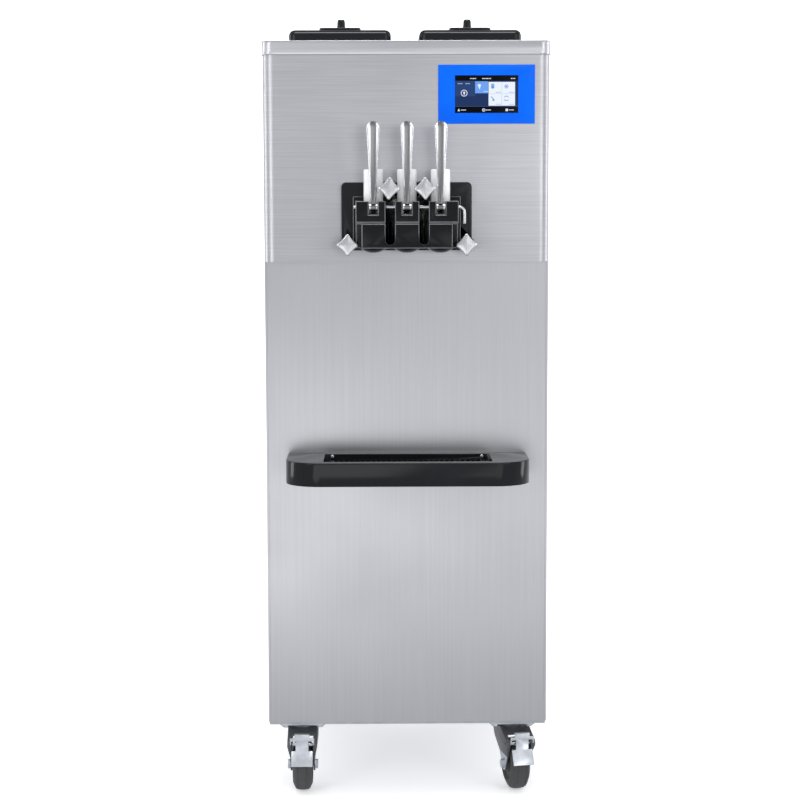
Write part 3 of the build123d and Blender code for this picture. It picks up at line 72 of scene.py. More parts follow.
class Shader:
    """A material's node tree with short calls to fill it."""

    def __init__(self, name: str) -> None:
        """Starts an empty tree with a Principled BSDF and its output.

        Args:
            name: The material's name.
        """
        self.material = bpy.data.materials.new(name)
        self.material.use_nodes = True
        self.tree = self.material.node_tree
        self.tree.nodes.clear()
        self.bsdf = self.tree.nodes.new("ShaderNodeBsdfPrincipled")
        output = self.tree.nodes.new("ShaderNodeOutputMaterial")
        self.link(self.bsdf.outputs["BSDF"], output.inputs["Surface"])

    def link(self, source: bpy.types.NodeSocket, target: bpy.types.NodeSocket) -> None:
        """Joins two sockets."""
        self.tree.links.new(source, target)

    def node(self, kind: str, **values: object) -> bpy.types.Node:
        """Adds a node and sets its inputs or properties.

        Args:
            kind: The node's type name.
            values: Input sockets by name with underscores for spaces, or node properties.

        Returns:
            The new node.
        """
        made = self.tree.nodes.new(kind)
        for key, value in values.items():
            socket = made.inputs.get(key.replace("_", " "))
            if socket is not None:
                socket.default_value = value
            else:
                setattr(made, key, value)
        return made

    def base(self, **values: object) -> None:
        """Sets the Principled sockets, by name with underscores for spaces."""
        for key, value in values.items():
            self.bsdf.inputs[key.replace("_", " ")].default_value = value

    def object_noise(self, scale: Sequence[float], detail: float) -> bpy.types.NodeSocket:
        """Noise on object coordinates.

        Args:
            scale: Stretch of the coordinates along X, Y and Z.
            detail: Octaves.

        Returns:
            The noise's factor socket.
        """
        place = self.node("ShaderNodeTexCoord")
        mapping = self.node("ShaderNodeMapping", Scale=tuple(scale))
        self.link(place.outputs["Object"], mapping.inputs["Vector"])
        noise = self.node("ShaderNodeTexNoise", Scale=1.0, Detail=detail)
        self.link(mapping.outputs["Vector"], noise.inputs["Vector"])
        return noise.outputs["Fac"]

    def spread(self, factor: bpy.types.NodeSocket, low: float, high: float) -> bpy.types.NodeSocket:
        """Maps the usual swing of a noise onto a range of values."""
        start, end = NOISE_SWING
        ranged = self.node("ShaderNodeMapRange", From_Min=start, From_Max=end, To_Min=low, To_Max=high)
        self.link(factor, ranged.inputs["Value"])
        return ranged.outputs["Result"]

    def tint(self, factor: bpy.types.NodeSocket, dark: Colour, light: Colour) -> bpy.types.NodeSocket:
        """Blends two colours by a factor."""
        ramp = self.node("ShaderNodeValToRGB")
        for stop, place, colour in zip(ramp.color_ramp.elements, NOISE_SWING, (dark, light)):
            stop.position = place
            stop.color = (*colour, 1.0)
        self.link(factor, ramp.inputs["Fac"])
        return ramp.outputs["Color"]

    def paint(self, factor: bpy.types.NodeSocket, colour: Colour, low: float, high: float) -> None:
        """Lets the base colour swing between two shares of itself."""
        self.link(self.tint(factor, shade(colour, low), shade(colour, high)), self.bsdf.inputs["Base Color"])

    def roughen(self, factor: bpy.types.NodeSocket, low: float, high: float) -> None:
        """Lets the roughness swing between two values."""
        self.link(self.spread(factor, low, high), self.bsdf.inputs["Roughness"])

    def bump(self, height: bpy.types.NodeSocket, strength: float, distance: float = 0.0003) -> None:
        """Adds a bump map to the surface."""
        bump = self.node("ShaderNodeBump", Strength=strength, Distance=distance)
        self.link(height, bump.inputs["Height"])
        self.link(bump.outputs["Normal"], self.bsdf.inputs["Normal"])


def shade(colour: Colour, factor: float) -> Colour:
    """A colour made lighter or darker."""
    return tuple(min(1.0, channel * factor) for channel in colour)


@dataclass(frozen=True)
class Finish:
    """A procedural material."""

    name: str
    colour: Colour

    def build(self) -> bpy.types.Material:
        """Makes the material.

        Returns:
            The finished material.
        """
        shader = Shader(self.name)
        self.fill(shader)
        return shader.material

    def fill(self, shader: Shader) -> None:
        """Sets the surface; each kind of finish has its own."""
        raise NotImplementedError


@dataclass(frozen=True)
class BrushedSteel(Finish):
    """Stainless sheet with fine parallel scratches and slow changes of tone."""

    grain: Grain
    roughness: float
    streak: float
    anisotropy: float

    def fill(self, shader: Shader) -> None:
        """Sets streaked colour, slowly changing roughness and a fine bump."""
        shader.base(Metallic=1.0, Anisotropic=self.anisotropy)
        fine = shader.object_noise(self.grain.value, 4.0)
        shader.paint(fine, self.colour, 1 - self.streak, 1 + self.streak)
        cloud = shader.object_noise((5.0, 5.0, 5.0), 3.0)
        shader.roughen(cloud, self.roughness - 0.03, self.roughness + 0.03)
        shader.bump(fine, 0.06, 0.0001)


@dataclass(frozen=True)
class PolishedSteel(Finish):
    """Bright steel with faint polishing marks."""

    roughness: float

    def fill(self, shader: Shader) -> None:
        """Sets the marks in colour and roughness."""
        shader.base(Metallic=1.0)
        marks = shader.object_noise((500.0, 500.0, 60.0), 3.0)
        shader.paint(marks, self.colour, 0.96, 1.03)
        shader.roughen(marks, self.roughness * 0.94, self.roughness * 1.08)


@dataclass(frozen=True)
class ReflectionBandSteel(Finish):
    """Polished bar steel with a painted dark reflection down its flat middle, between brighter flanks."""

    # Colour of the painted dark reflection down the middle of each bar.
    painted_reflection: Colour
    roughness: float
    pitch: float = 0.062
    inner: float = 0.0018
    outer: float = 0.0092

    def fill(self, shader: Shader) -> None:
        """Paints a dark reflection band down the middle of each bar, against brighter flanks, one bar to a
        pitch along X.
        """
        shader.base(Metallic=1.0)
        place = shader.node("ShaderNodeTexCoord")
        split = shader.node("ShaderNodeSeparateXYZ")
        shader.link(place.outputs["Object"], split.inputs["Vector"])
        fold = shader.node("ShaderNodeMath", operation="PINGPONG")
        fold.inputs[1].default_value = self.pitch / 2
        shader.link(split.outputs["X"], fold.inputs[0])
        ramp = shader.node("ShaderNodeMapRange", interpolation_type="SMOOTHSTEP", From_Min=self.inner,
                           From_Max=self.outer)
        shader.link(fold.outputs["Value"], ramp.inputs["Value"])
        # Painted reflection: dark in the flat middle of each bar, bright steel on the flanks.
        painted_reflection_tone = shader.tint(ramp.outputs["Result"], self.painted_reflection, self.colour)
        shader.link(painted_reflection_tone, shader.bsdf.inputs["Base Color"])
        marks = shader.object_noise((500.0, 500.0, 60.0), 3.0)
        shader.roughen(marks, self.roughness * 0.94, self.roughness * 1.08)


@dataclass(frozen=True)
class Moulded(Finish):
    """Moulded or machined plastic, rubber or paint with a fine texture."""

    roughness: float
    texture: float
    texture_size: float = 900.0
    coat: float = 0.0
    metallic: float = 0.0
    specular: float = 0.35

    def fill(self, shader: Shader) -> None:
        """Sets slow changes of tone and a fine grain."""
        shader.base(Metallic=self.metallic, Coat_Weight=self.coat, Coat_Roughness=0.05,
                    Specular_IOR_Level=self.specular)
        cloud = shader.object_noise((14.0, 14.0, 14.0), 4.0)
        shader.paint(cloud, self.colour, 0.88, 1.12)
        shader.roughen(cloud, self.roughness * 0.85, self.roughness * 1.15)
        shader.bump(shader.object_noise((self.texture_size,) * 3, 2.0), self.texture)


@dataclass(frozen=True)
class Plated(Finish):
    """Zinc plate or galvanised sheet with its patchy spangle."""

    roughness: float
    patch: float

    def fill(self, shader: Shader) -> None:
        """Sets cells of tone with cloudy roughness."""
        shader.base(Metallic=1.0)
        place = shader.node("ShaderNodeTexCoord")
        cells = shader.node("ShaderNodeTexVoronoi", Scale=self.patch)
        shader.link(place.outputs["Object"], cells.inputs["Vector"])
        shader.paint(cells.outputs["Distance"], self.colour, 0.94, 1.0)
        cloud = shader.object_noise((40.0, 40.0, 40.0), 4.0)
        shader.roughen(cloud, self.roughness * 0.8, self.roughness * 1.3)
        shader.bump(cloud, 0.1)


@dataclass(frozen=True)
class Lit(Finish):
    """A lit colour behind the display's glass."""

    strength: float = 0.97

    def fill(self, shader: Shader) -> None:
        """Sets an almost even light."""
        shader.base(Base_Color=(*shade(self.colour, 0.04), 1.0), Roughness=0.3, Specular_IOR_Level=0.05,
                    Emission_Strength=self.strength)
        cloud = shader.object_noise((30.0, 30.0, 30.0), 2.0)
        glow = shader.tint(cloud, shade(self.colour, 0.97), self.colour)
        shader.link(glow, shader.bsdf.inputs["Emission Color"])


class Finishes:
    """Every material of the machine, built once."""

    def __init__(self) -> None:
        """Builds the materials."""
        self.housing = BrushedSteel("housing_steel", (0.505, 0.505, 0.525), Grain.ACROSS, 0.315, 0.07,
                                    0.75).build()
        self.panel = BrushedSteel("panel_steel", (0.52, 0.52, 0.535), Grain.UPRIGHT, 0.34, 0.03, 0.45).build()
        self.deck = BrushedSteel("deck_steel", (0.60, 0.60, 0.62), Grain.FLAT, 0.315, 0.05, 0.6).build()
        self.tub = BrushedSteel("tub_steel", (0.70, 0.70, 0.71), Grain.ACROSS, 0.22, 0.03, 0.2).build()
        self.polished = PolishedSteel("polished_steel", (0.80, 0.80, 0.80), 0.12).build()
        self.knob = PolishedSteel("knob_steel", (0.66, 0.66, 0.67), 0.27).build()
        self.aluminium = PolishedSteel("plain_aluminium", (0.62, 0.62, 0.63), 0.34).build()
        # Lever steel: bright flank colour, and a painted dark reflection colour for the middle band.
        self.lever = ReflectionBandSteel("lever_steel", (0.97, 0.97, 0.97), (0.23, 0.23, 0.235), 0.2).build()
        self.galvanised = Plated("galvanised_sheet", (0.50, 0.52, 0.54), 0.42, 45.0).build()
        self.zinc = Plated("zinc_plate", (0.66, 0.69, 0.73), 0.36, 120.0).build()
        self.gloss_black = Moulded("gloss_black", (0.005, 0.0055, 0.007), 0.16, 0.02).build()
        self.head_black = Moulded("head_black", (0.004, 0.0043, 0.0055), 0.22, 0.03, specular=0.22).build()
        self.tray_black = Moulded("tray_black", (0.007, 0.0075, 0.009), 0.12, 0.02, specular=0.26).build()
        self.matt_black = Moulded("matt_black", (0.02, 0.02, 0.022), 0.5, 0.1).build()
        # Lighter greys for rounded edges, painted edge highlights: one for the dispensing head, one for the
        # face plate and drip tray.
        self.edge_highlight = Moulded("worn_edge", (0.15, 0.153, 0.16), 0.25, 0.02).build()
        self.plate_edge = Moulded("plate_edge", (0.10, 0.103, 0.11), 0.25, 0.02).build()
        self.white = Moulded("white_acetal", (0.93, 0.93, 0.93), 0.35, 0.03).build()
        self.blue = Moulded("blue_panel", (0.0, 0.112, 0.76), 0.4, 0.02, specular=0.1).build()
        self.screen = Moulded("screen_glass", (0.001, 0.0012, 0.002), 0.08, 0.0, specular=0.08).build()
        self.fork_grey = Moulded("fork_grey", (0.075, 0.08, 0.085), 0.38, 0.1, coat=0.1).build()
        self.enamel = Moulded("black_enamel", (0.012, 0.012, 0.014), 0.34, 0.05, coat=0.4).build()
        self.tyre = Moulded("tyre_grey", (0.055, 0.055, 0.056), 0.6, 0.25, 500.0).build()
        self.rubber = Moulded("rubber", (0.015, 0.015, 0.016), 0.7, 0.3, 600.0).build()
        self.cast = Moulded("cast_iron", (0.09, 0.10, 0.105), 0.6, 0.5, 260.0, metallic=0.6).build()


@dataclass
class Studio:
    """Floor, backdrop, lights and camera."""

    camera_at: tuple[float, float, float] = (-0.051, -3.75, 1.126)
    pitch: float = 5.83
    yaw: float = 0.62
    roll: float = 0.15
    focal: float = 82.6
    floor_half: float = 8.0
    wall_at: float = 5.0
    wall_height: float = 9.0
    air: float = 0.62

    def build(self) -> None:
        """Makes everything that isn't the object."""
        self.build_camera()
        self.build_floor()
        self.build_lights()
        scene = bpy.context.scene
        scene.view_settings.view_transform = "Standard"
        world = bpy.data.worlds.new("studio_air")
        world.use_nodes = True
        air = world.node_tree.nodes["Background"]
        air.inputs["Color"].default_value = (0.93, 0.95, 1.0, 1.0)
        air.inputs["Strength"].default_value = self.air
        scene.world = world

    def build_camera(self) -> None:
        """Sets the camera in front of the machine, a little above the dispensing head."""
        pitch, yaw, roll = (math.radians(a) for a in (self.pitch, self.yaw, self.roll))
        forward = Vector((math.sin(yaw) * math.cos(pitch), math.cos(yaw) * math.cos(pitch), -math.sin(pitch)))
        right = Vector((math.cos(yaw), -math.sin(yaw), 0.0))
        up = right.cross(forward)
        right_rolled = right * math.cos(roll) - up * math.sin(roll)
        up_rolled = right * math.sin(roll) + up * math.cos(roll)
        lens = bpy.data.cameras.new("camera")
        lens.lens = self.focal
        camera = bpy.data.objects.new("camera", lens)
        turn = Matrix((right_rolled, up_rolled, -forward)).transposed().to_4x4()
        camera.matrix_world = Matrix.Translation(self.camera_at) @ turn
        bpy.context.scene.collection.objects.link(camera)
        bpy.context.scene.camera = camera

    def build_floor(self) -> None:
        """Makes the pale floor, the wall far behind the machine and three that only the camera sees."""
        half, back, high = self.floor_half, self.wall_at, self.wall_height
        white = Shader("studio_white")
        white.base(Base_Color=(0.92, 0.92, 0.93, 1.0), Roughness=0.9, Emission_Color=(1, 1, 1, 1),
                   Emission_Strength=0.42)
        pale = Shader("studio_wall")
        pale.base(Base_Color=(0.9, 0.9, 0.9, 1.0), Emission_Color=(1, 1, 1, 1), Emission_Strength=0.8)
        square = [(-half, -half, 0), (half, -half, 0), (half, half, 0), (-half, half, 0)]
        floor = mesh_object("studio_floor", square, [(0, 1, 2, 3)], white.material)
        upright = [(-half, back, 0), (half, back, 0), (half, back, high), (-half, back, high)]
        wall = mesh_object("studio_wall", upright, [(0, 1, 2, 3)], pale.material)
        corners = [(-half, back), (-half, -half), (half, -half), (half, back)]
        points = [(x, y, z) for x, y in corners for z in (0, high)]
        sides = [(2 * k, 2 * k + 1, 2 * k + 3, 2 * k + 2) for k in range(3)]
        room = mesh_object("studio_room", points, sides, pale.material)
        room.visible_diffuse = False
        room.visible_shadow = False
        for piece in (floor, wall, room):
            piece.visible_glossy = False

    def build_lights(self) -> None:
        """Places soft boxes in front, above and to both sides."""
        self.soft_box("low_left", (-0.75, -4.2, -0.1), (0, 0, 0.55), 1.8, 1.1, 9)
        self.soft_box("low_right", (1.25, -4.2, -0.1), (0, 0, 0.55), 1.4, 1.1, 4.5)
        self.soft_box("high_right", (1.0, -4.3, 1.35), (0, 0, 1.3), 1.1, 0.7, 3.5)
        self.soft_box("front_left", (-2.4, -3.2, 1.8), (0, 0, 1.0), 0.9, 2.4, 22)
        self.soft_box("front_right", (2.4, -3.2, 1.8), (0, 0, 1.0), 0.9, 2.4, 18)
        self.soft_box("top", (0.0, -0.9, 3.0), (0, 0, 1.0), 1.6, 0.5, 24)
        self.soft_box("side_left", (-2.8, 0.4, 1.2), (0, 0, 0.9), 0.8, 2.4, 18)
        self.soft_box("side_right", (2.8, 0.4, 1.2), (0, 0, 0.9), 0.8, 2.4, 18)

    def soft_box(self, name: str, place: Sequence[float], aim: Sequence[float], width: float,
                 height: float, power: float) -> None:
        """Adds one rectangular area light.

        Args:
            name: The light's name.
            place: Where it stands.
            aim: The point it faces.
            width: Its width.
            height: Its height.
            power: Its power in watts.
        """
        light = bpy.data.lights.new(name, "AREA")
        light.shape = "RECTANGLE"
        light.size = width
        light.size_y = height
        light.energy = power
        holder = bpy.data.objects.new(name, light)
        holder.location = place
        holder.rotation_euler = (Vector(aim) - Vector(place)).to_track_quat("-Z", "Y").to_euler()
        bpy.context.scene.collection.objects.link(holder)


def mesh_object(name: str, points: Iterable[Sequence[float]], faces: Iterable[Sequence[int]],
                material: bpy.types.Material) -> bpy.types.Object:
    """Makes a mesh object at the origin.

    Args:
        name: The object's name.
        points: Its vertices.
        faces: Its faces, as vertex numbers.
        material: Its finish.

    Returns:
        The linked object.
    """
    mesh = bpy.data.meshes.new(name)
    mesh.from_pydata([tuple(p) for p in points], [], [tuple(f) for f in faces])
    mesh.materials.append(material)
    return link_mesh(mesh)


def link_mesh(mesh: bpy.types.Mesh) -> bpy.types.Object:
    """Puts a mesh in the scene as an object of the same name."""
    made = bpy.data.objects.new(mesh.name, mesh)
    bpy.context.scene.collection.objects.link(made)
    return made


# ---- mesh work ---------------------------------------------------------------------------------


def srgb(red: int, green: int, blue: int) -> Colour:
    """Linear colour from eight-bit display values."""
    def linear(value: int) -> float:
        """One channel to linear light."""
        share = value / 255
        return share / 12.92 if share <= 0.04045 else ((share + 0.055) / 1.055) ** 2.4
    return linear(red), linear(green), linear(blue)


def centre_of(node: str) -> Vector:
    """Middle of a CAD node's box, in metres."""
    low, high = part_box(node)
    return (low + high) / 2


def bake(made: bpy.types.Object) -> bpy.types.Object:
    """Turns an object's modifiers into plain mesh.

    Args:
        made: The object.

    Returns:
        The same object with no modifiers left.
    """
    graph = bpy.context.evaluated_depsgraph_get()
    mesh = bpy.data.meshes.new_from_object(made.evaluated_get(graph), preserve_all_data_layers=True,
                                           depsgraph=graph)
    made.modifiers.clear()
    made.data = mesh
    return made


def merged_copy(node: str) -> bmesh.types.BMesh:
    """A CAD node's mesh with its loose triangles joined and its flat faces made whole.

    Args:
        node: The node's name.

    Returns:
        A new bmesh.
    """
    shape = bmesh.new()
    shape.from_mesh(frame["nodes"][node].data)
    bmesh.ops.remove_doubles(shape, verts=shape.verts, dist=2e-6)
    bmesh.ops.dissolve_degenerate(shape, edges=shape.edges, dist=1e-6)
    bmesh.ops.dissolve_limit(shape, angle_limit=math.radians(0.3), verts=shape.verts, edges=shape.edges)
    return shape


def islands(node: str) -> list[tuple[Vector, Vector]]:
    """Boxes of a CAD node's separate solids.

    Args:
        node: The node's name.

    Returns:
        The lowest and highest corner of each, in a fixed order.
    """
    shape = merged_copy(node)
    unseen = set(shape.verts)
    boxes = []
    while unseen:
        reached = {unseen.pop()}
        border = list(reached)
        while border:
            here = border.pop()
            near = {edge.other_vert(here) for edge in here.link_edges} - reached
            reached |= near
            border.extend(near)
        unseen -= reached
        places = [vertex.co for vertex in reached]
        boxes.append((Vector(map(min, *places)), Vector(map(max, *places))))
    shape.free()
    return sorted(boxes, key=lambda box: tuple(box[0]))


@dataclass
class EasedPart:
    """A part made from its CAD solid, with worn or moulded edges rounded over, and a lighter material on the
    rounding as a painted edge highlight where one is given.
    """

    node: str
    body: str
    slot: str
    material: bpy.types.Material
    radius: float = 0.6
    segments: int = 2
    limit: float = 35.0
    weigh: Callable[[Vector, float], float] | None = None
    # Optional lighter material for the rounded edges: a painted edge highlight.
    edge: bpy.types.Material | None = None

    def build(self) -> bpy.types.Object:
        """Makes the part and puts it in the CAD node's place.

        Returns:
            The finished object.
        """
        shape = merged_copy(self.node)
        for face in shape.faces:
            face.smooth = True
        if self.weigh:
            self.weigh_edges(shape)
        mesh = bpy.data.meshes.new(f"{self.node}_finished")
        shape.to_mesh(mesh)
        shape.free()
        mesh.materials.append(self.material)
        if self.edge:
            mesh.materials.append(self.edge)
        made = link_mesh(mesh)
        if self.radius > 0:
            bevel = made.modifiers.new("eased_edges", "BEVEL")
            # The rounding takes the painted edge highlight material when one is given.
            bevel.material = 1 if self.edge else -1
            bevel.limit_method = "WEIGHT" if self.weigh else "ANGLE"
            bevel.angle_limit = math.radians(self.limit)
            bevel.width = self.radius * MM
            bevel.segments = self.segments
            bevel.harden_normals = True
            bevel.use_clamp_overlap = self.weigh is None
            bake(made)
        else:
            mesh.set_sharp_from_angle(angle=math.radians(self.limit))
        return settle(made, self.body, self.slot, self.node)

    def weigh_edges(self, shape: bmesh.types.BMesh) -> None:
        """Gives each sharp edge its share of the rounding.

        Args:
            shape: The part's mesh.
        """
        layer = shape.edges.layers.float.new("bevel_weight_edge")
        for edge in shape.edges:
            sharp = edge.is_manifold and edge.calc_face_angle(0.0) > math.radians(self.limit)
            if sharp:
                middle = (edge.verts[0].co + edge.verts[1].co) / 2
                edge[layer] = self.weigh(middle, edge.calc_length())


def settle(made: bpy.types.Object, body: str, slot: str, *nodes: str) -> bpy.types.Object:
    """Fixes a finished piece to its body and hides the CAD nodes it stands for.

    Args:
        made: The piece.
        body: The body it moves with.
        slot: The record's material slot; not used.
        nodes: The CAD nodes it replaces.

    Returns:
        The same piece.
    """
    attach(made, body)
    if nodes:
        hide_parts(*nodes)
    LOG.info("%s: %d faces on %s", made.name, len(made.data.polygons), body)
    return made


class Shell:
    """Closed mesh built from rings, revolved profiles and prisms."""

    def __init__(self) -> None:
        """Starts an empty mesh."""
        self.shape = bmesh.new()

    def loft(self, rings: Sequence[Ring], closed: bool = False) -> None:
        """Skins equal rings.

        Args:
            rings: The rings in order, each with the same number of points.
            closed: Whether the last ring joins the first; otherwise both ends are capped.
        """
        rows = [[self.shape.verts.new(point) for point in ring] for ring in rings]
        count = len(rows[0])
        if closed:
            rows.append(rows[0])
        for low, high in zip(rows, rows[1:]):
            for k in range(count):
                self.shape.faces.new((low[k], low[(k + 1) % count], high[(k + 1) % count], high[k]))
        if not closed:
            self.shape.faces.new(rows[0][::-1])
            self.shape.faces.new(rows[-1])

    def revolve(self, profile: Sequence[tuple[float, float]], base: Vector, axis: Vector,
                sides: int = 48) -> None:
        """Turns a profile about an axis.

        Args:
            profile: Radius and distance along the axis of each corner, in metres; a first and last
                radius of zero close the ends, otherwise the profile closes on itself.
            base: The point that distances are measured from.
            axis: The direction of the axis.
            sides: How many sides the circle has.
        """
        axis = axis.normalized()
        across = axis.orthogonal().normalized()
        third = axis.cross(across)
        solid = profile[0][0] == 0.0
        rows = []
        for radius, along in profile:
            if radius == 0.0:
                rows.append([self.shape.verts.new(base + axis * along)])
                continue
            rows.append([self.shape.verts.new(
                base + axis * along + (across * math.cos(t) + third * math.sin(t)) * radius)
                for t in (2 * math.pi * k / sides for k in range(sides))])
        pairs = list(zip(rows, rows[1:])) + ([] if solid else [(rows[-1], rows[0])])
        for low, high in pairs:
            for k in range(sides):
                corners = [low[k % len(low)], low[(k + 1) % len(low)],
                           high[(k + 1) % len(high)], high[k % len(high)]]
                self.shape.faces.new(list(dict.fromkeys(corners)))

    def prism(self, outline: Sequence[tuple[float, float]], front: float, back: float) -> None:
        """Extrudes an outline in X and Z along Y.

        Args:
            outline: The corners in order, in metres.
            front: The lower Y.
            back: The higher Y.
        """
        self.loft([[Vector((x, front, z)) for x, z in outline], [Vector((x, back, z)) for x, z in outline]])

    def finish(self, name: str, material: bpy.types.Material, crease: float = 40.0) -> bpy.types.Object:
        """Makes the object, faces outwards and smooth.

        Args:
            name: The object's name.
            material: Its finish.
            crease: Edges sharper than this angle stay crisp, in degrees.

        Returns:
            The linked object.
        """
        bmesh.ops.remove_doubles(self.shape, verts=self.shape.verts, dist=1e-7)
        bmesh.ops.recalc_face_normals(self.shape, faces=self.shape.faces)
        for face in self.shape.faces:
            face.smooth = True
        mesh = bpy.data.meshes.new(name)
        self.shape.to_mesh(mesh)
        self.shape.free()
        mesh.materials.append(material)
        mesh.set_sharp_from_angle(angle=math.radians(crease))
        return link_mesh(mesh)


# ---- repeated pieces ------------------------------------------------------------------------------
class RepeatTree:
    """Geometry Nodes tree that sets one piece on every point of a mesh."""

    INPUTS = (("Piece", "Object"), ("Finish", "Material"), ("Tilt", "Vector"), ("Turn", "Float"))
    SEED = 7

    def __init__(self, name: str) -> None:
        """Builds the tree.

        Args:
            name: The tree's name.
        """
        self.tree = bpy.data.node_groups.new(name, "GeometryNodeTree")
        face = self.tree.interface
        face.new_socket("Geometry", in_out="INPUT", socket_type="NodeSocketGeometry")
        self.sockets = {}
        for word, kind in self.INPUTS:
            socket = face.new_socket(word, in_out="INPUT", socket_type=f"NodeSocket{kind}")
            self.sockets[word] = socket.identifier
        face.new_socket("Geometry", in_out="OUTPUT", socket_type="NodeSocketGeometry")
        add = self.tree.nodes.new
        given, result = add("NodeGroupInput"), add("NodeGroupOutput")
        source = add("GeometryNodeObjectInfo")
        spin = add("FunctionNodeRandomValue")
        spin.inputs["Seed"].default_value = self.SEED
        angles = add("ShaderNodeCombineXYZ")
        place = add("GeometryNodeInstanceOnPoints")
        twist = add("GeometryNodeRotateInstances")
        real = add("GeometryNodeRealizeInstances")
        paint = add("GeometryNodeSetMaterial")
        links = ((given.outputs["Piece"], source.inputs["Object"]),
                 (given.outputs["Geometry"], place.inputs["Points"]),
                 (source.outputs["Geometry"], place.inputs["Instance"]),
                 (given.outputs["Tilt"], place.inputs["Rotation"]),
                 (given.outputs["Turn"], spin.inputs[3]),
                 (spin.outputs[1], angles.inputs["Z"]),
                 (angles.outputs["Vector"], twist.inputs["Rotation"]),
                 (place.outputs["Instances"], twist.inputs["Instances"]),
                 (twist.outputs["Instances"], real.inputs["Geometry"]),
                 (real.outputs["Geometry"], paint.inputs["Geometry"]),
                 (given.outputs["Finish"], paint.inputs["Material"]),
                 (paint.outputs["Geometry"], result.inputs["Geometry"]))
        for start, end in links:
            self.tree.links.new(start, end)

    def set_out(self, name: str, points: Sequence[Sequence[float]], piece: bpy.types.Object,
                tilt: Sequence[float] = (0, 0, 0), turn: float = 0.0) -> bpy.types.Object:
        """Sets the piece on each point and bakes the result.

        Args:
            name: The new object's name.
            points: Where the copies go, in metres.
            piece: The object that is repeated, which lends its finish; it is removed afterwards.
            tilt: Turn of every copy about X, Y and Z, in radians.
            turn: Largest random turn about the copy's own Z, in radians.

        Returns:
            The baked object.
        """
        material = piece.data.materials[0]
        made = mesh_object(name, points, [], material)
        repeat = made.modifiers.new("repeat", "NODES")
        repeat.node_group = self.tree
        values = {"Piece": piece, "Finish": material, "Tilt": tuple(tilt), "Turn": turn}
        for word, value in values.items():
            repeat[self.sockets[word]] = value
        bake(made)
        bpy.data.objects.remove(piece)
        return made


# ---- sub-assemblies --------------------------------------------------------------------------------
@dataclass
class Levers:
    """Three cast and polished draw levers on their pin."""

    finishes: Finishes
    length: float = 157.0
    lean: float = 16.0
    heights: tuple[float, ...] = (8.0, 22.0, 50.0, 90.0, 125.0, 145.0)
    widths: tuple[float, ...] = (8.0, 12.0, 13.5, 18.0, 22.5, 24.0)
    thick: float = 8.0
    tip_rise: float = 12.0
    pin_radius: float = 3.0
    toe_reach: float = 26.0
    toe_fall: float = 22.5
    ball: float = 4.0

    def build(self) -> None:
        """Makes each lever in place of its CAD node."""
        pin_low, pin_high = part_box("pivot_pin")
        pin_y, pin_z = pin_low.y + self.pin_radius * MM, pin_high.z - self.pin_radius * MM
        for side in ("left", "centre", "right"):
            x = centre_of(f"lever_{side}").x
            shell = Shell()
            self.add_handle(shell, x, pin_y, pin_z)
            self.add_boss(shell, x, pin_y, pin_z)
            made = shell.finish(f"draw_lever_{side}", self.finishes.lever)
            settle(made, f"lever_{side}", "polished", f"lever_{side}")

    def width_at(self, height: float) -> float:
        """Handle width at a height above the pin, in millimetres."""
        for k in range(len(self.heights) - 1):
            low, high = self.heights[k], self.heights[k + 1]
            if height <= high:
                share = max(0.0, (height - low) / (high - low))
                smooth = share * share * (3 - 2 * share)
                return self.widths[k] + (self.widths[k + 1] - self.widths[k]) * smooth
        return self.widths[-1]

    def add_handle(self, shell: Shell, x: float, pin_y: float, pin_z: float) -> None:
        """Lofts neck and handle from the pin to the rounded tip.

        Args:
            shell: The mesh to add to.
            x: The lever's middle.
            pin_y: The pin's Y.
            pin_z: The pin's Z.
        """
        first, last, neck = self.heights[0], self.length, self.heights[1]
        stations = 46
        rings = []
        for k in range(stations + 1):
            share = k / stations
            height = first + (last - first) * (1 - (1 - share) ** 1.25)
            half = self.width_at(height) / 2
            left = (last - height) / self.tip_rise
            tip = math.sqrt(max(0.0, 1 - (1 - left) ** 2)) if left < 1 else 1.0
            tip = max(tip, 0.04)
            grown = max(0.0, (height - neck) / (last - neck))
            y = pin_y - (4.0 + self.lean * grown ** 1.5) * MM
            thick = self.thick / 2 * (0.55 + 0.45 * tip)
            rings.append([Vector((x + px * half * tip * MM, y + py * thick * MM, pin_z + height * MM))
                          for px, py in oval(28, 3.2)])
        shell.loft(rings)

    def add_boss(self, shell: Shell, x: float, pin_y: float, pin_z: float) -> None:
        """Adds the bored boss on the pin, the toe rod and its ball.

        Args:
            shell: The mesh to add to.
            x: The lever's middle.
            pin_y: The pin's Y.
            pin_z: The pin's Z.
        """
        centre = Vector((x, pin_y, pin_z))
        side = Vector((1, 0, 0))
        shell.revolve([(3.05 * MM, -8 * MM), (5.9 * MM, -8 * MM), (6.5 * MM, -7.4 * MM),
                       (6.5 * MM, 7.4 * MM), (5.9 * MM, 8 * MM), (3.05 * MM, 8 * MM)], centre, side)
        angle = math.radians(self.toe_fall)
        toe = Vector((0, math.cos(angle), -math.sin(angle)))
        reach = self.toe_reach * MM
        size = self.ball * MM
        ball = [(0.0, reach + size)]
        ball += [(size * math.sin(t), reach + size * math.cos(t))
                 for t in (math.pi * k / 12 for k in range(1, 9))]
        ball += [(2.5 * MM, reach - 3.2 * MM), (2.5 * MM, 5.0 * MM), (0.0, 5.0 * MM)]
        shell.revolve(ball, centre, toe, 24)


def oval(count: int, power: float) -> list[tuple[float, float]]:
    """Points of a superellipse of half size one.

    Args:
        count: How many points.
        power: Two gives a circle, more gives flatter sides.

    Returns:
        The points in order.
    """
    points = []
    for k in range(count):
        t = 2 * math.pi * k / count
        c, s = math.cos(t), math.sin(t)
        points.append((math.copysign(abs(c) ** (2 / power), c), math.copysign(abs(s) ** (2 / power), s)))
    return points


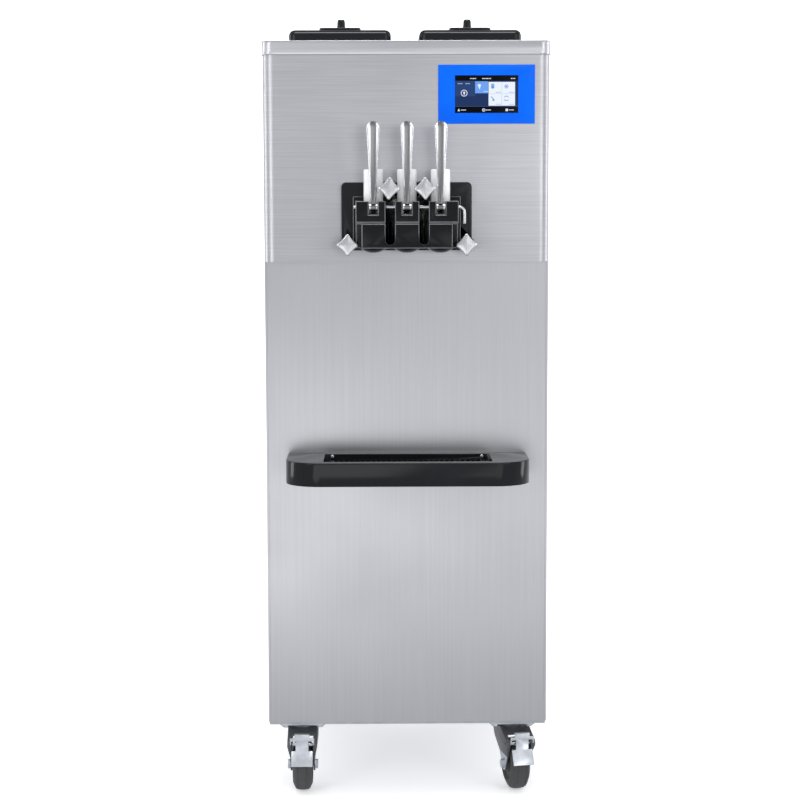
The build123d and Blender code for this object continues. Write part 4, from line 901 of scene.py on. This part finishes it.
@dataclass
class StarKnobs:
    """Four polished cast knobs with hollow sides and a crowned face."""

    finishes: Finishes
    half_width: float = 20.5
    half_height: float = 21.0
    thick: float = 12.0
    waist: float = 0.49
    tip: float = 1.8
    stem: float = 6.5
    bore: float = 4.05

    def build(self) -> None:
        """Makes each knob in place of its CAD node."""
        for name in ("upper_left", "upper_right", "lower_left", "lower_right"):
            node = f"star_knob_{name}"
            low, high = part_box(node)
            turn = self.find_turn(node)
            shell = Shell()
            self.add_star(shell, centre_of(node), low.y, turn)
            self.add_stem(shell, centre_of(node), low.y, high.y)
            settle(shell.finish(f"hand_knob_{name}", self.finishes.knob, 50.0), node, "polished", node)

    def find_turn(self, node: str) -> float:
        """Reads how far the CAD knob is turned, from its highest corner.

        Args:
            node: The knob's node.

        Returns:
            The angle in radians.
        """
        middle = centre_of(node)
        top = max((vertex.co for vertex in frame["nodes"][node].data.vertices), key=lambda place: place.z)
        return math.atan2(middle.x - top.x, top.z - middle.z)

    def outline(self, share: float, turn: float) -> list[tuple[float, float]]:
        """Four-pointed outline with hollow sides, shrunk by a share, in millimetres.

        Args:
            share: One for the full outline.
            turn: Its turn in radians.

        Returns:
            The outline's points.
        """
        a, b, tip = self.half_width, self.half_height, self.tip
        points = []
        steps = 16
        for sx, sz in ((1, 1), (-1, 1), (-1, -1), (1, -1)):
            side = []
            for k in range(steps + 1):
                t = k / steps
                hollow = 4 * t * (1 - t)
                x = a + (tip - a) * t - hollow * (a + tip - 2 * self.waist * a) / 2
                z = tip + (b - tip) * t - hollow * (b + tip - 2 * self.waist * b) / 2
                round_off = 0.55 * max(0.0, 1 - min(t, 1 - t) * steps)
                side.append((sx * (x - round_off * (1 - t)), sz * (z - round_off * t)))
            points += side if sx * sz > 0 else side[::-1]
        return [((x * math.cos(turn) - z * math.sin(turn)) * share,
                 (x * math.sin(turn) + z * math.cos(turn)) * share) for x, z in points]

    def add_star(self, shell: Shell, middle: Vector, front: float, turn: float) -> None:
        """Lofts the star from back to front with a crowned face.

        Args:
            shell: The mesh to add to.
            middle: The knob's middle.
            front: The lowest Y of the knob.
            turn: The star's turn in radians.
        """
        steps = ((self.thick, 0.93), (self.thick - 0.6, 0.975), (self.thick - 1.6, 1.0), (4.0, 1.0),
                 (2.6, 0.99), (1.7, 0.965), (1.2, 0.92), (0.8, 0.8), (0.45, 0.6), (0.2, 0.4), (0.05, 0.2),
                 (0.0, 0.05))
        rings = []
        for depth, share in steps:
            rings.append([Vector((middle.x + x * MM, front + depth * MM, middle.z + z * MM))
                          for x, z in self.outline(share, turn)])
        shell.loft(rings)

    def add_stem(self, shell: Shell, middle: Vector, front: float, back: float) -> None:
        """Adds the bored stem behind the star."""
        start = front + (self.thick - 1.0) * MM
        shell.revolve([(self.bore * MM, start), (self.stem * MM, start), (self.stem * MM, back - 0.5 * MM),
                       (self.stem * MM - 0.5 * MM, back), (self.bore * MM, back)],
                      Vector((middle.x, 0, middle.z)), Vector((0, 1, 0)), 40)


@dataclass
class Display:
    """Touch display: lit tiles and plain symbols just in front of the screen's glass."""

    finishes: Finishes
    layer: float = 0.06
    tile: tuple[float, float] = (24.4, 21.6)
    front: float = 0.0
    middle: tuple[float, float] = (0.0, 0.0)
    symbols: dict[str, Shell] = field(default_factory=dict)

    def build(self) -> None:
        """Draws every tile and symbol, one object for each colour."""
        low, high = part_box("display_screen")
        self.front = low.y
        self.middle = ((low.x + high.x) / 2, (low.z + high.z) / 2)
        self.bars()
        self.status_side()
        self.tiles()
        self.bottom_symbols()
        colours = {"navy": srgb(34, 54, 96), "navy_light": srgb(44, 68, 118), "sky": srgb(112, 164, 244),
                   "paper": srgb(236, 243, 252), "ink": srgb(104, 156, 226), "white": srgb(235, 240, 248),
                   "rule": srgb(52, 82, 140), "seam": srgb(176, 200, 232)}
        for colour, shell in self.symbols.items():
            material = Lit(f"lit_{colour}", colours[colour]).build()
            settle(shell.finish(f"display_{colour}", material), "machine", "screen_glass")

    def draw(self, colour: str, outline: Sequence[tuple[float, float]], depth: int) -> None:
        """Adds a flat shape.

        Args:
            colour: Which colour's mesh it joins.
            outline: Its corners in millimetres from the screen's middle.
            depth: Its layer, one for the lowest.
        """
        shell = self.symbols.setdefault(colour, Shell())
        x, z = self.middle
        corners = [(x + u * MM, z + v * MM) for u, v in outline]
        shell.prism(corners, self.front - depth * self.layer * MM, self.front - 0.01 * MM)

    def panel(self, colour: str, u: float, v: float, width: float, height: float, depth: int) -> None:
        """Adds a rectangle by its middle and size."""
        self.draw(colour, [(u - width / 2, v - height / 2), (u + width / 2, v - height / 2),
                           (u + width / 2, v + height / 2), (u - width / 2, v + height / 2)], depth)

    def disc(self, colour: str, u: float, v: float, radius: float, depth: int, squash: float = 1.0) -> None:
        """Adds a filled circle or ellipse."""
        self.draw(colour, [(u + radius * math.cos(t), v + radius * squash * math.sin(t))
                           for t in (2 * math.pi * k / 28 for k in range(28))], depth)

    def arc(self, colour: str, u: float, v: float, radius: float, width: float, start: float,
            sweep: float, depth: int) -> None:
        """Adds part of a ring.

        Args:
            colour: Which colour's mesh it joins.
            u: Middle across.
            v: Middle up.
            radius: Outer radius.
            width: Width of the ring.
            start: First angle in degrees.
            sweep: Angle covered in degrees.
            depth: Its layer.
        """
        steps = 28
        angles = [math.radians(start + sweep * k / steps) for k in range(steps + 1)]
        outer = [(u + radius * math.cos(t), v + radius * math.sin(t)) for t in angles]
        inner = [(u + (radius - width) * math.cos(t), v + (radius - width) * math.sin(t)) for t in angles]
        for k in range(steps):
            self.draw(colour, [outer[k], outer[k + 1], inner[k + 1], inner[k]], depth)

    def dashes(self, colour: str, u: float, v: float, widths: Sequence[float], height: float,
               depth: int) -> None:
        """Adds a row of plain dashes that stands for a caption."""
        for width in widths:
            self.panel(colour, u + width / 2, v, width, height, depth)
            u += width + 0.7

    def bars(self) -> None:
        """The captions in the dark bar along the top."""
        self.dashes("white", -31.0, 29.0, (2.2, 1.4, 3.4, 2.0), 1.5, 1)
        self.dashes("white", -8.5, 29.0, (3.2, 2.4, 4.2, 1.6, 2.6), 1.5, 1)
        self.dashes("white", 45.5, 29.0, (2.4, 1.2, 3.2), 1.5, 1)

    def status_side(self) -> None:
        """The dark blue ground with its ring symbol."""
        self.panel("navy", 0.0, 1.6, 118.2, 46.6, 1)
        self.panel("navy_light", -40.0, 10.5, 38.2, 28.8, 2)
        self.panel("rule", 0.0, -22.6, 118.2, 1.1, 2)
        self.dashes("seam", -54.0, 19.6, (2.4, 2.0, 2.6), 1.4, 3)
        self.dashes("seam", -39.6, 19.6, (2.6, 1.8, 2.2), 1.4, 3)
        self.arc("white", -42.2, 2.0, 6.2, 1.2, 0, 360, 3)
        self.disc("white", -42.2, 2.6, 1.9, 3, 1.2)
        self.draw("white", [(-43.3, 1.4), (-42.2, -2.4), (-41.1, 1.4)], 3)

    def tiles(self) -> None:
        """The pale blue tile and the four white ones with their symbols."""
        width, height = self.tile
        self.panel("sky", -9.3, 12.7, width, height + 0.4, 3)
        self.disc("white", -13.6, 16.4, 3.1, 4, 0.8)
        self.draw("white", [(-15.8, 14.8), (-13.2, 8.4), (-11.2, 15.2)], 4)
        self.dashes("white", -5.2, 5.0, (2.4, 2.6, 1.8), 1.2, 4)
        self.panel("seam", 28.6, 0.6, 2 * width + 1.2, 2 * height + 1.2, 3)
        places = ((16.1, 11.7), (41.1, 11.7), (16.1, -10.5), (41.1, -10.5))
        for u, v in places:
            self.panel("paper", u, v, width, height, 4)
            self.dashes("ink", u + 1.0, v - 8.3, (2.6, 2.2, 3.4), 1.0, 5)
        u, v = places[0]
        self.disc("ink", u - 4.6, v + 1.4, 3.1, 5)
        for k in range(4):
            self.panel("ink", u - 6.9 + 1.55 * k, v + 5.2 + 0.5 * (k % 3), 1.2, 4.4, 5)
        u, v = places[1]
        for k in range(6):
            t = math.radians(60 * k)
            self.disc("ink", u - 4.0 + 2.9 * math.cos(t), v + 2.6 + 2.9 * math.sin(t), 1.15, 5)
        self.disc("ink", u - 4.0, v + 2.6, 1.5, 5)
        u, v = places[2]
        self.draw("ink", [(u - 8.2, v + 5.4), (u - 7.0, v + 6.4), (u - 1.8, v + 1.0), (u - 3.0, v)], 5)
        self.disc("ink", u - 3.2, v - 0.6, 2.2, 5, 0.7)
        u, v = places[3]
        self.arc("ink", u - 3.8, v + 2.6, 4.9, 1.3, 20, 130, 5)
        self.arc("ink", u - 3.8, v + 2.6, 4.9, 1.3, 200, 130, 5)

    def bottom_symbols(self) -> None:
        """Three symbols with captions in the bar along the bottom."""
        self.draw("white", [(-54.6, -31.4), (-49.8, -31.4), (-52.2, -26.8)], 1)
        self.arc("white", -5.4, -29.4, 3.0, 1.1, 0, 360, 1)
        self.disc("white", -5.4, -29.4, 0.9, 1)
        self.panel("white", 38.0, -29.4, 4.4, 4.4, 1)
        for u in (-48.0, -1.2, 41.8):
            self.dashes("white", u, -29.4, (2.6, 2.2, 3.0), 1.4, 1)


@dataclass
class Fasteners:
    """Pan-head screws on the rear panel and in the drip tray."""

    finishes: Finishes
    radii: tuple[float, ...] = (3.5, 3.3, 2.9, 2.4, 1.9, 1.3, 0.7)
    heights: tuple[float, ...] = (0.8, 1.5, 2.0, 2.25, 2.38, 2.46, 2.5)
    recess: float = 1.1
    recess_radius: float = 2.1

    def template(self) -> bpy.types.Object:
        """Makes one screw head with its cross recess, facing up."""
        shape = Shell()
        sides = 32
        rings = []
        for radius, height in zip(self.radii, self.heights):
            ring = []
            for k in range(sides):
                t = 2 * math.pi * k / sides
                near = abs(((math.degrees(t) + 45) % 90) - 45)
                sunk = self.recess if radius < self.recess_radius and near * radius < 24 else 0.0
                ring.append(Vector((radius * math.cos(t), radius * math.sin(t), height - sunk)) * MM)
            rings.append(ring)
        foot = [Vector((point.x, point.y, 0.0)) for point in rings[0]]
        shape.loft([foot, *rings])
        return shape.finish("screw_template", self.finishes.knob, 50.0)

    def build(self) -> None:
        """Sets a screw on each of the CAD node's screws."""
        tree = RepeatTree("screw_rows")
        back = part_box("rear_panel")[1].y
        head = self.heights[-1] * MM
        rear, tray = [], []
        for low, high in islands("panel_screws"):
            x, z = (low.x + high.x) / 2, (low.z + high.z) / 2
            if high.y > back:
                rear.append((x, high.y - head, z))
            else:
                tray.append((x, low.y + head, z))
        quarter = math.pi / 2
        rows = (("rear_panel_screws", rear, -quarter, ["panel_screws"]),
                ("drip_tray_screws", tray, quarter, []))
        for name, points, tilt, nodes in rows:
            row = tree.set_out(name, points, self.template(), (tilt, 0, 0), 1.5)
            settle(row, "machine", "polished", *nodes)


@dataclass
class DripGrid:
    """Slotted cover of the drip pan, made of cross bars in a frame."""

    finishes: Finishes
    border: float = 12.0
    end: float = 12.5
    margin: float = 30.0
    pitch: float = 10.0
    bar: float = 5.0
    ease: float = 0.5

    def build(self) -> None:
        """Makes the frame and its row of rounded bars."""
        low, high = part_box("drip_grid")
        middle, size = (low + high) / 2, high - low
        reach = size.y / 2 - (self.border - 1) * MM
        half, thick = self.bar / 2 * MM, size.z / 2
        bar = Shell()
        bar.loft([[Vector((px * half, y, pz * thick)) for px, pz in oval(16, 3.5)] for y in (-reach, reach)])
        template = bar.finish("bar_template", self.finishes.gloss_black, 50.0)
        count = int((size.x / MM - self.margin) / self.pitch) + 1
        start = -(count - 1) * self.pitch / 2
        points = [(middle.x + (start + self.pitch * k) * MM, middle.y, middle.z) for k in range(count)]
        bars = RepeatTree("grid_bars").set_out("drip_grid_bars", points, template)
        settle(bars, "drip_grid", "black_gloss", "drip_grid")
        border = Shell()
        border.loft(self.frame_rings(low, high), closed=True)
        settle(border.finish("drip_grid_frame", self.finishes.gloss_black), "drip_grid", "black_gloss")

    def frame_rings(self, low: Vector, high: Vector) -> list[Ring]:
        """Outlines of the rectangular frame, up its outside and down its inside.

        Args:
            low: The grid's lowest corner.
            high: The grid's highest corner.

        Returns:
            The outlines in order.
        """
        middle, half = (low + high) / 2, (high - low) / 2
        ease = self.ease * MM
        inner = (half.x - self.end * MM, half.y - self.border * MM)
        outline = ((half.x, half.y, low.z), (half.x, half.y, high.z - ease),
                   (half.x - ease, half.y - ease, high.z), (*inner, high.z), (*inner, low.z))
        return [[Vector((middle.x + sx * x, middle.y + sy * y, z))
                 for sx, sy in ((1, 1), (-1, 1), (-1, -1), (1, -1))] for x, y, z in outline]


@dataclass
class CondenserCoil:
    """Close-set fins on the open face of the condenser."""

    finishes: Finishes
    pitch: float = 4.0
    fin: float = 0.4
    depth: float = 10.0
    inset: float = 6.5
    head_room: float = 18.0
    side_room: float = 30.0

    def build(self) -> None:
        """Sets the fins in front of the CAD core."""
        low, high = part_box("condenser")
        middle = (low + high) / 2
        height = (high.z - low.z) / 2 - self.head_room * MM
        half, reach, pitch = self.fin / 2 * MM, self.depth / 2 * MM, self.pitch * MM
        fin = Shell()
        corners = ((-reach, -half), (reach, -half), (reach, half), (-reach, half))
        fin.loft([[Vector((x, y, z)) for x, y in corners] for z in (-height, height)])
        template = fin.finish("fin_template", self.finishes.aluminium)
        count = int((high.y - low.y - self.side_room * MM) / pitch)
        start = middle.y - (count - 1) * pitch / 2
        points = [(high.x - self.inset * MM, start + pitch * k, middle.z) for k in range(count)]
        fins = RepeatTree("condenser_fins").set_out("condenser_fins", points, template)
        settle(fins, "machine", "aluminium")


@dataclass
class Casters:
    """Four swivel casters: smooth wheels, pressed forks and plated pedals."""

    finishes: Finishes
    wheel_radius: float = 50.0
    wheel_half: float = 19.0
    tread_half: float = 14.0
    bore: float = 5.05
    bolt_reach: float = 10.5

    def build(self) -> None:
        """Makes the wheels and eases the edges of the metal parts."""
        for place in ("front_left", "front_right", "rear_left", "rear_right"):
            self.build_wheel(place)
            fork = EasedPart(f"caster_fork_{place}", f"caster_fork_{place}", "dark_paint",
                             self.finishes.fork_grey, 0.7).build()
            self.plate_bolt(fork, place)
        for place in ("front_left", "front_right"):
            EasedPart(f"brake_pedal_{place}", f"brake_pedal_{place}", "zinc", self.finishes.zinc, 0.5).build()
        EasedPart("caster_plates", "machine", "zinc", self.finishes.zinc, 0.5).build()

    @staticmethod
    def axle(place: str) -> tuple[Vector, Vector]:
        """Direction and middle of a caster's axle, from its roll joint and its wheel."""
        wheel = f"caster_wheel_{place}"
        joint = next(j for j in frame["joints"] if j["child"] == wheel)
        return Vector(joint["axis"]), centre_of(wheel)

    def plate_bolt(self, fork: bpy.types.Object, place: str) -> None:
        """Gives the axle's head and nut their zinc plate.

        Args:
            fork: The finished fork with its axle.
            place: Which caster it belongs to.
        """
        axis, middle = self.axle(place)
        fork.data.materials.append(self.finishes.zinc)
        for face in fork.data.polygons:
            arm = face.center - middle
            if (arm - axis * arm.dot(axis)).length < self.bolt_reach * MM:
                face.material_index = 1

    def build_wheel(self, place: str) -> None:
        """Turns one wheel: round tread with two fine grooves, stepped web and hub.

        Args:
            place: Which caster it belongs to.
        """
        node = f"caster_wheel_{place}"
        axis, middle = self.axle(place)
        r, half, tread = self.wheel_radius, self.wheel_half, self.tread_half
        side = [(self.bore, half), (r * 0.26, half), (r * 0.30, half - 0.8), (r * 0.31, half - 3.6),
                (r * 0.58, half - 4.0), (r * 0.63, half - 1.0), (r * 0.67, half), (r * 0.72, half),
                (r * 0.76, half - 0.5), (r - 4.0, tread + 0.4), (r - 2.4, tread - 1.0)]
        crown = []
        for along in (11.0, 9.0, 8.6, 8.2, 7.6, 4.0, 0.0):
            sunk = 0.7 if along == 8.6 else 0.0
            crown.append((r - 2.0 * (along / tread) ** 2 - sunk, along))
        profile = side + crown
        profile += [(radius, -along) for radius, along in reversed(profile[:-1])]
        shell = Shell()
        shell.revolve([(radius * MM, along * MM) for radius, along in profile], middle, axis, 72)
        settle(shell.finish(f"caster_tyre_{place}", self.finishes.tyre, 30.0), node, "tyre", node)


@dataclass
class HopperLids:
    """Two hollow moulded lids with a rounded crown, a long raised step and a tapered knob."""

    finishes: Finishes
    rise: float = 5.0
    knob_height: float = 28.0
    wall: float = 3.0
    crown_radius: float = 11.0
    corner: float = 14.0
    step_half: float = 40.5
    step_inset: float = 13.0

    def build(self) -> None:
        """Makes each lid in place of its CAD node."""
        for side in ("left", "right"):
            node = f"hopper_lid_{side}"
            low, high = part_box(node)
            shell = Shell()
            shell.loft(self.rings(low, high))
            settle(shell.finish(f"{node}_finished", self.finishes.gloss_black), node, "black_gloss", node)

    def rings(self, low: Vector, high: Vector) -> list[Ring]:
        """Outlines from the hollow's ceiling down its wall, up the outside and over the knob.

        Args:
            low: The CAD lid's lowest corner.
            high: Its highest corner.

        Returns:
            The outlines in order.
        """
        middle = (low + high) / 2
        half_x, half_y = (high.x - low.x) / 2 / MM, (high.y - low.y) / 2 / MM
        crown = high.z / MM - self.knob_height - self.rise
        base, bend = low.z / MM, crown - self.crown_radius
        steps = [(half_x - self.wall, half_y - self.wall, self.corner - self.wall, bend),
                 (half_x - self.wall, half_y - self.wall, self.corner - self.wall, base),
                 (half_x, half_y, self.corner, base), (half_x, half_y, self.corner, bend)]
        for k in range(1, 7):
            angle = math.pi / 12 * k
            inset = self.crown_radius * (1 - math.cos(angle))
            steps.append((half_x - inset, half_y - inset, self.corner - inset,
                          bend + self.crown_radius * math.sin(angle)))
        length = half_y - self.step_inset
        for inset, rise in ((0.0, 0.0), (0.0, 3.2), (0.6, 4.4), (2.0, self.rise)):
            steps.append((self.step_half - inset, length - inset, 10.0 - inset, crown + rise))
        top = self.rise + self.knob_height
        for radius, rise in ((9.6, self.rise), (9.0, self.rise + 3.0), (7.6, top - 4.0), (7.0, top - 1.6),
                             (5.8, top - 0.4), (4.4, top)):
            steps.append((radius, radius, radius - 0.2, crown + rise))
        return [self.rounded(middle, *step) for step in steps]

    @staticmethod
    def rounded(middle: Vector, half_x: float, half_y: float, corner: float, height: float) -> Ring:
        """A level rectangle with round corners.

        Args:
            middle: The lid's middle in metres.
            half_x: Half its width in millimetres.
            half_y: Half its length in millimetres.
            corner: Its corner radius in millimetres.
            height: Its height in millimetres.

        Returns:
            Its points in order, in metres.
        """
        points = []
        for quarter, (sx, sy) in enumerate(((1, 1), (-1, 1), (-1, -1), (1, -1))):
            for k in range(9):
                angle = math.pi / 2 * (quarter + k / 8)
                points.append(Vector((middle.x + (sx * (half_x - corner) + corner * math.cos(angle)) * MM,
                                      middle.y + (sy * (half_y - corner) + corner * math.sin(angle)) * MM,
                                      height * MM)))
        return points


@dataclass
class Cladding:
    """Sheet and moulded parts whose CAD shape only needs its edges eased."""

    finishes: Finishes
    slots: float = 0.031
    head_front: float = -0.345

    def build(self) -> None:
        """Eases each part's edges."""
        f = self.finishes
        parts = (
            ("upper_housing", "machine", "stainless", f.housing, 0.0, 1),
            ("top_deck", "machine", "stainless", f.deck, 0.7, 2),
            ("drip_tray", "machine", "black_gloss", f.tray_black, 0.6, 3),
            ("drip_pan", "drip_pan", "black_gloss", f.gloss_black, 0.3, 2),
            ("face_plate", "machine", "black_gloss", f.gloss_black, 0.9, 3),
            ("nozzle_caps", "machine", "black_gloss", f.gloss_black, 0.4, 2),
            ("display_bezel", "machine", "blue_panel", f.blue, 0.3, 2),
            ("pivot_pin", "pivot_pin", "polished", f.knob, 0.6, 2),
            *((name, name, "white_plastic", f.white, 0.5, 2)
              for name in ("plunger_left", "plunger_centre", "plunger_right")),
            ("cable_gland", "machine", "black_plastic", f.matt_black, 0.5, 2),
        )
        # The face plate and drip tray get a lighter grey on their rounded edges, a painted edge highlight.
        edges = {"face_plate": f.plate_edge, "drip_tray": f.plate_edge}
        for node, body, slot, material, radius, segments in parts:
            EasedPart(node, body, slot, material, radius, segments, edge=edges.get(node)).build()
        self.slots = centre_of("plunger_right").x / 2
        self.head_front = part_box("dispensing_head")[0].y
        # The head's rounded edges get a lighter grey, a painted edge highlight.
        EasedPart("dispensing_head", "machine", "black_head", f.head_black, 1.3, 3,
                  weigh=self.head_edge, edge=f.edge_highlight).build()

    def head_edge(self, middle: Vector, length: float) -> float:
        """Share of the full rounding that an edge of the dispensing head takes.

        Args:
            middle: The edge's middle.
            length: Its length.

        Returns:
            A weight from zero to one.
        """
        if abs(abs(middle.x) - self.slots) < 7.5 * MM and middle.y > self.head_front + 9 * MM:
            return 0.0
        if length < 3.2 * MM:
            return 0.15
        return 0.3 if length < 9 * MM else 1.0


def dress_frame(f: Finishes) -> None:
    """Gives every CAD node that stays in view its finish.

    Args:
        f: The machine's finishes.
    """
    groups = (
        (f.panel, ("lower_front_panel", "left_side_panel", "right_side_panel", "rear_panel")),
        (f.tub, ("hopper_left", "hopper_right", "freezing_cylinder_left", "freezing_cylinder_right")),
        (f.polished, ("beater_left", "beater_right", "head_studs")),
        (f.galvanised, ("base_chassis", "inner_frame")),
        (f.matt_black, ("condenser_fan",)),
        (f.screen, ("display_screen",)),
        (f.enamel, ("drive_motor", "compressor", "control_box")),
        (f.cast, ("gearboxes",)),
        (f.aluminium, ("condenser", "gearbox_pulley_left", "gearbox_pulley_right", "motor_pulley")),
        (f.rubber, ("drive_belts", "head_seals")),
    )
    for material, nodes in groups:
        for node in nodes:
            slots = frame["nodes"][node].data.materials
            slots.clear()
            slots.append(material)


def main() -> None:
    """Builds the studio and every sub-assembly."""
    logging.basicConfig(level=logging.INFO)
    finishes = Finishes()
    Studio().build()
    dress_frame(finishes)
    for assembly in (Cladding, Levers, StarKnobs, Display, Fasteners, DripGrid, CondenserCoil, Casters,
                     HopperLids):
        assembly(finishes).build()


if __name__ == "__main__":
    main()
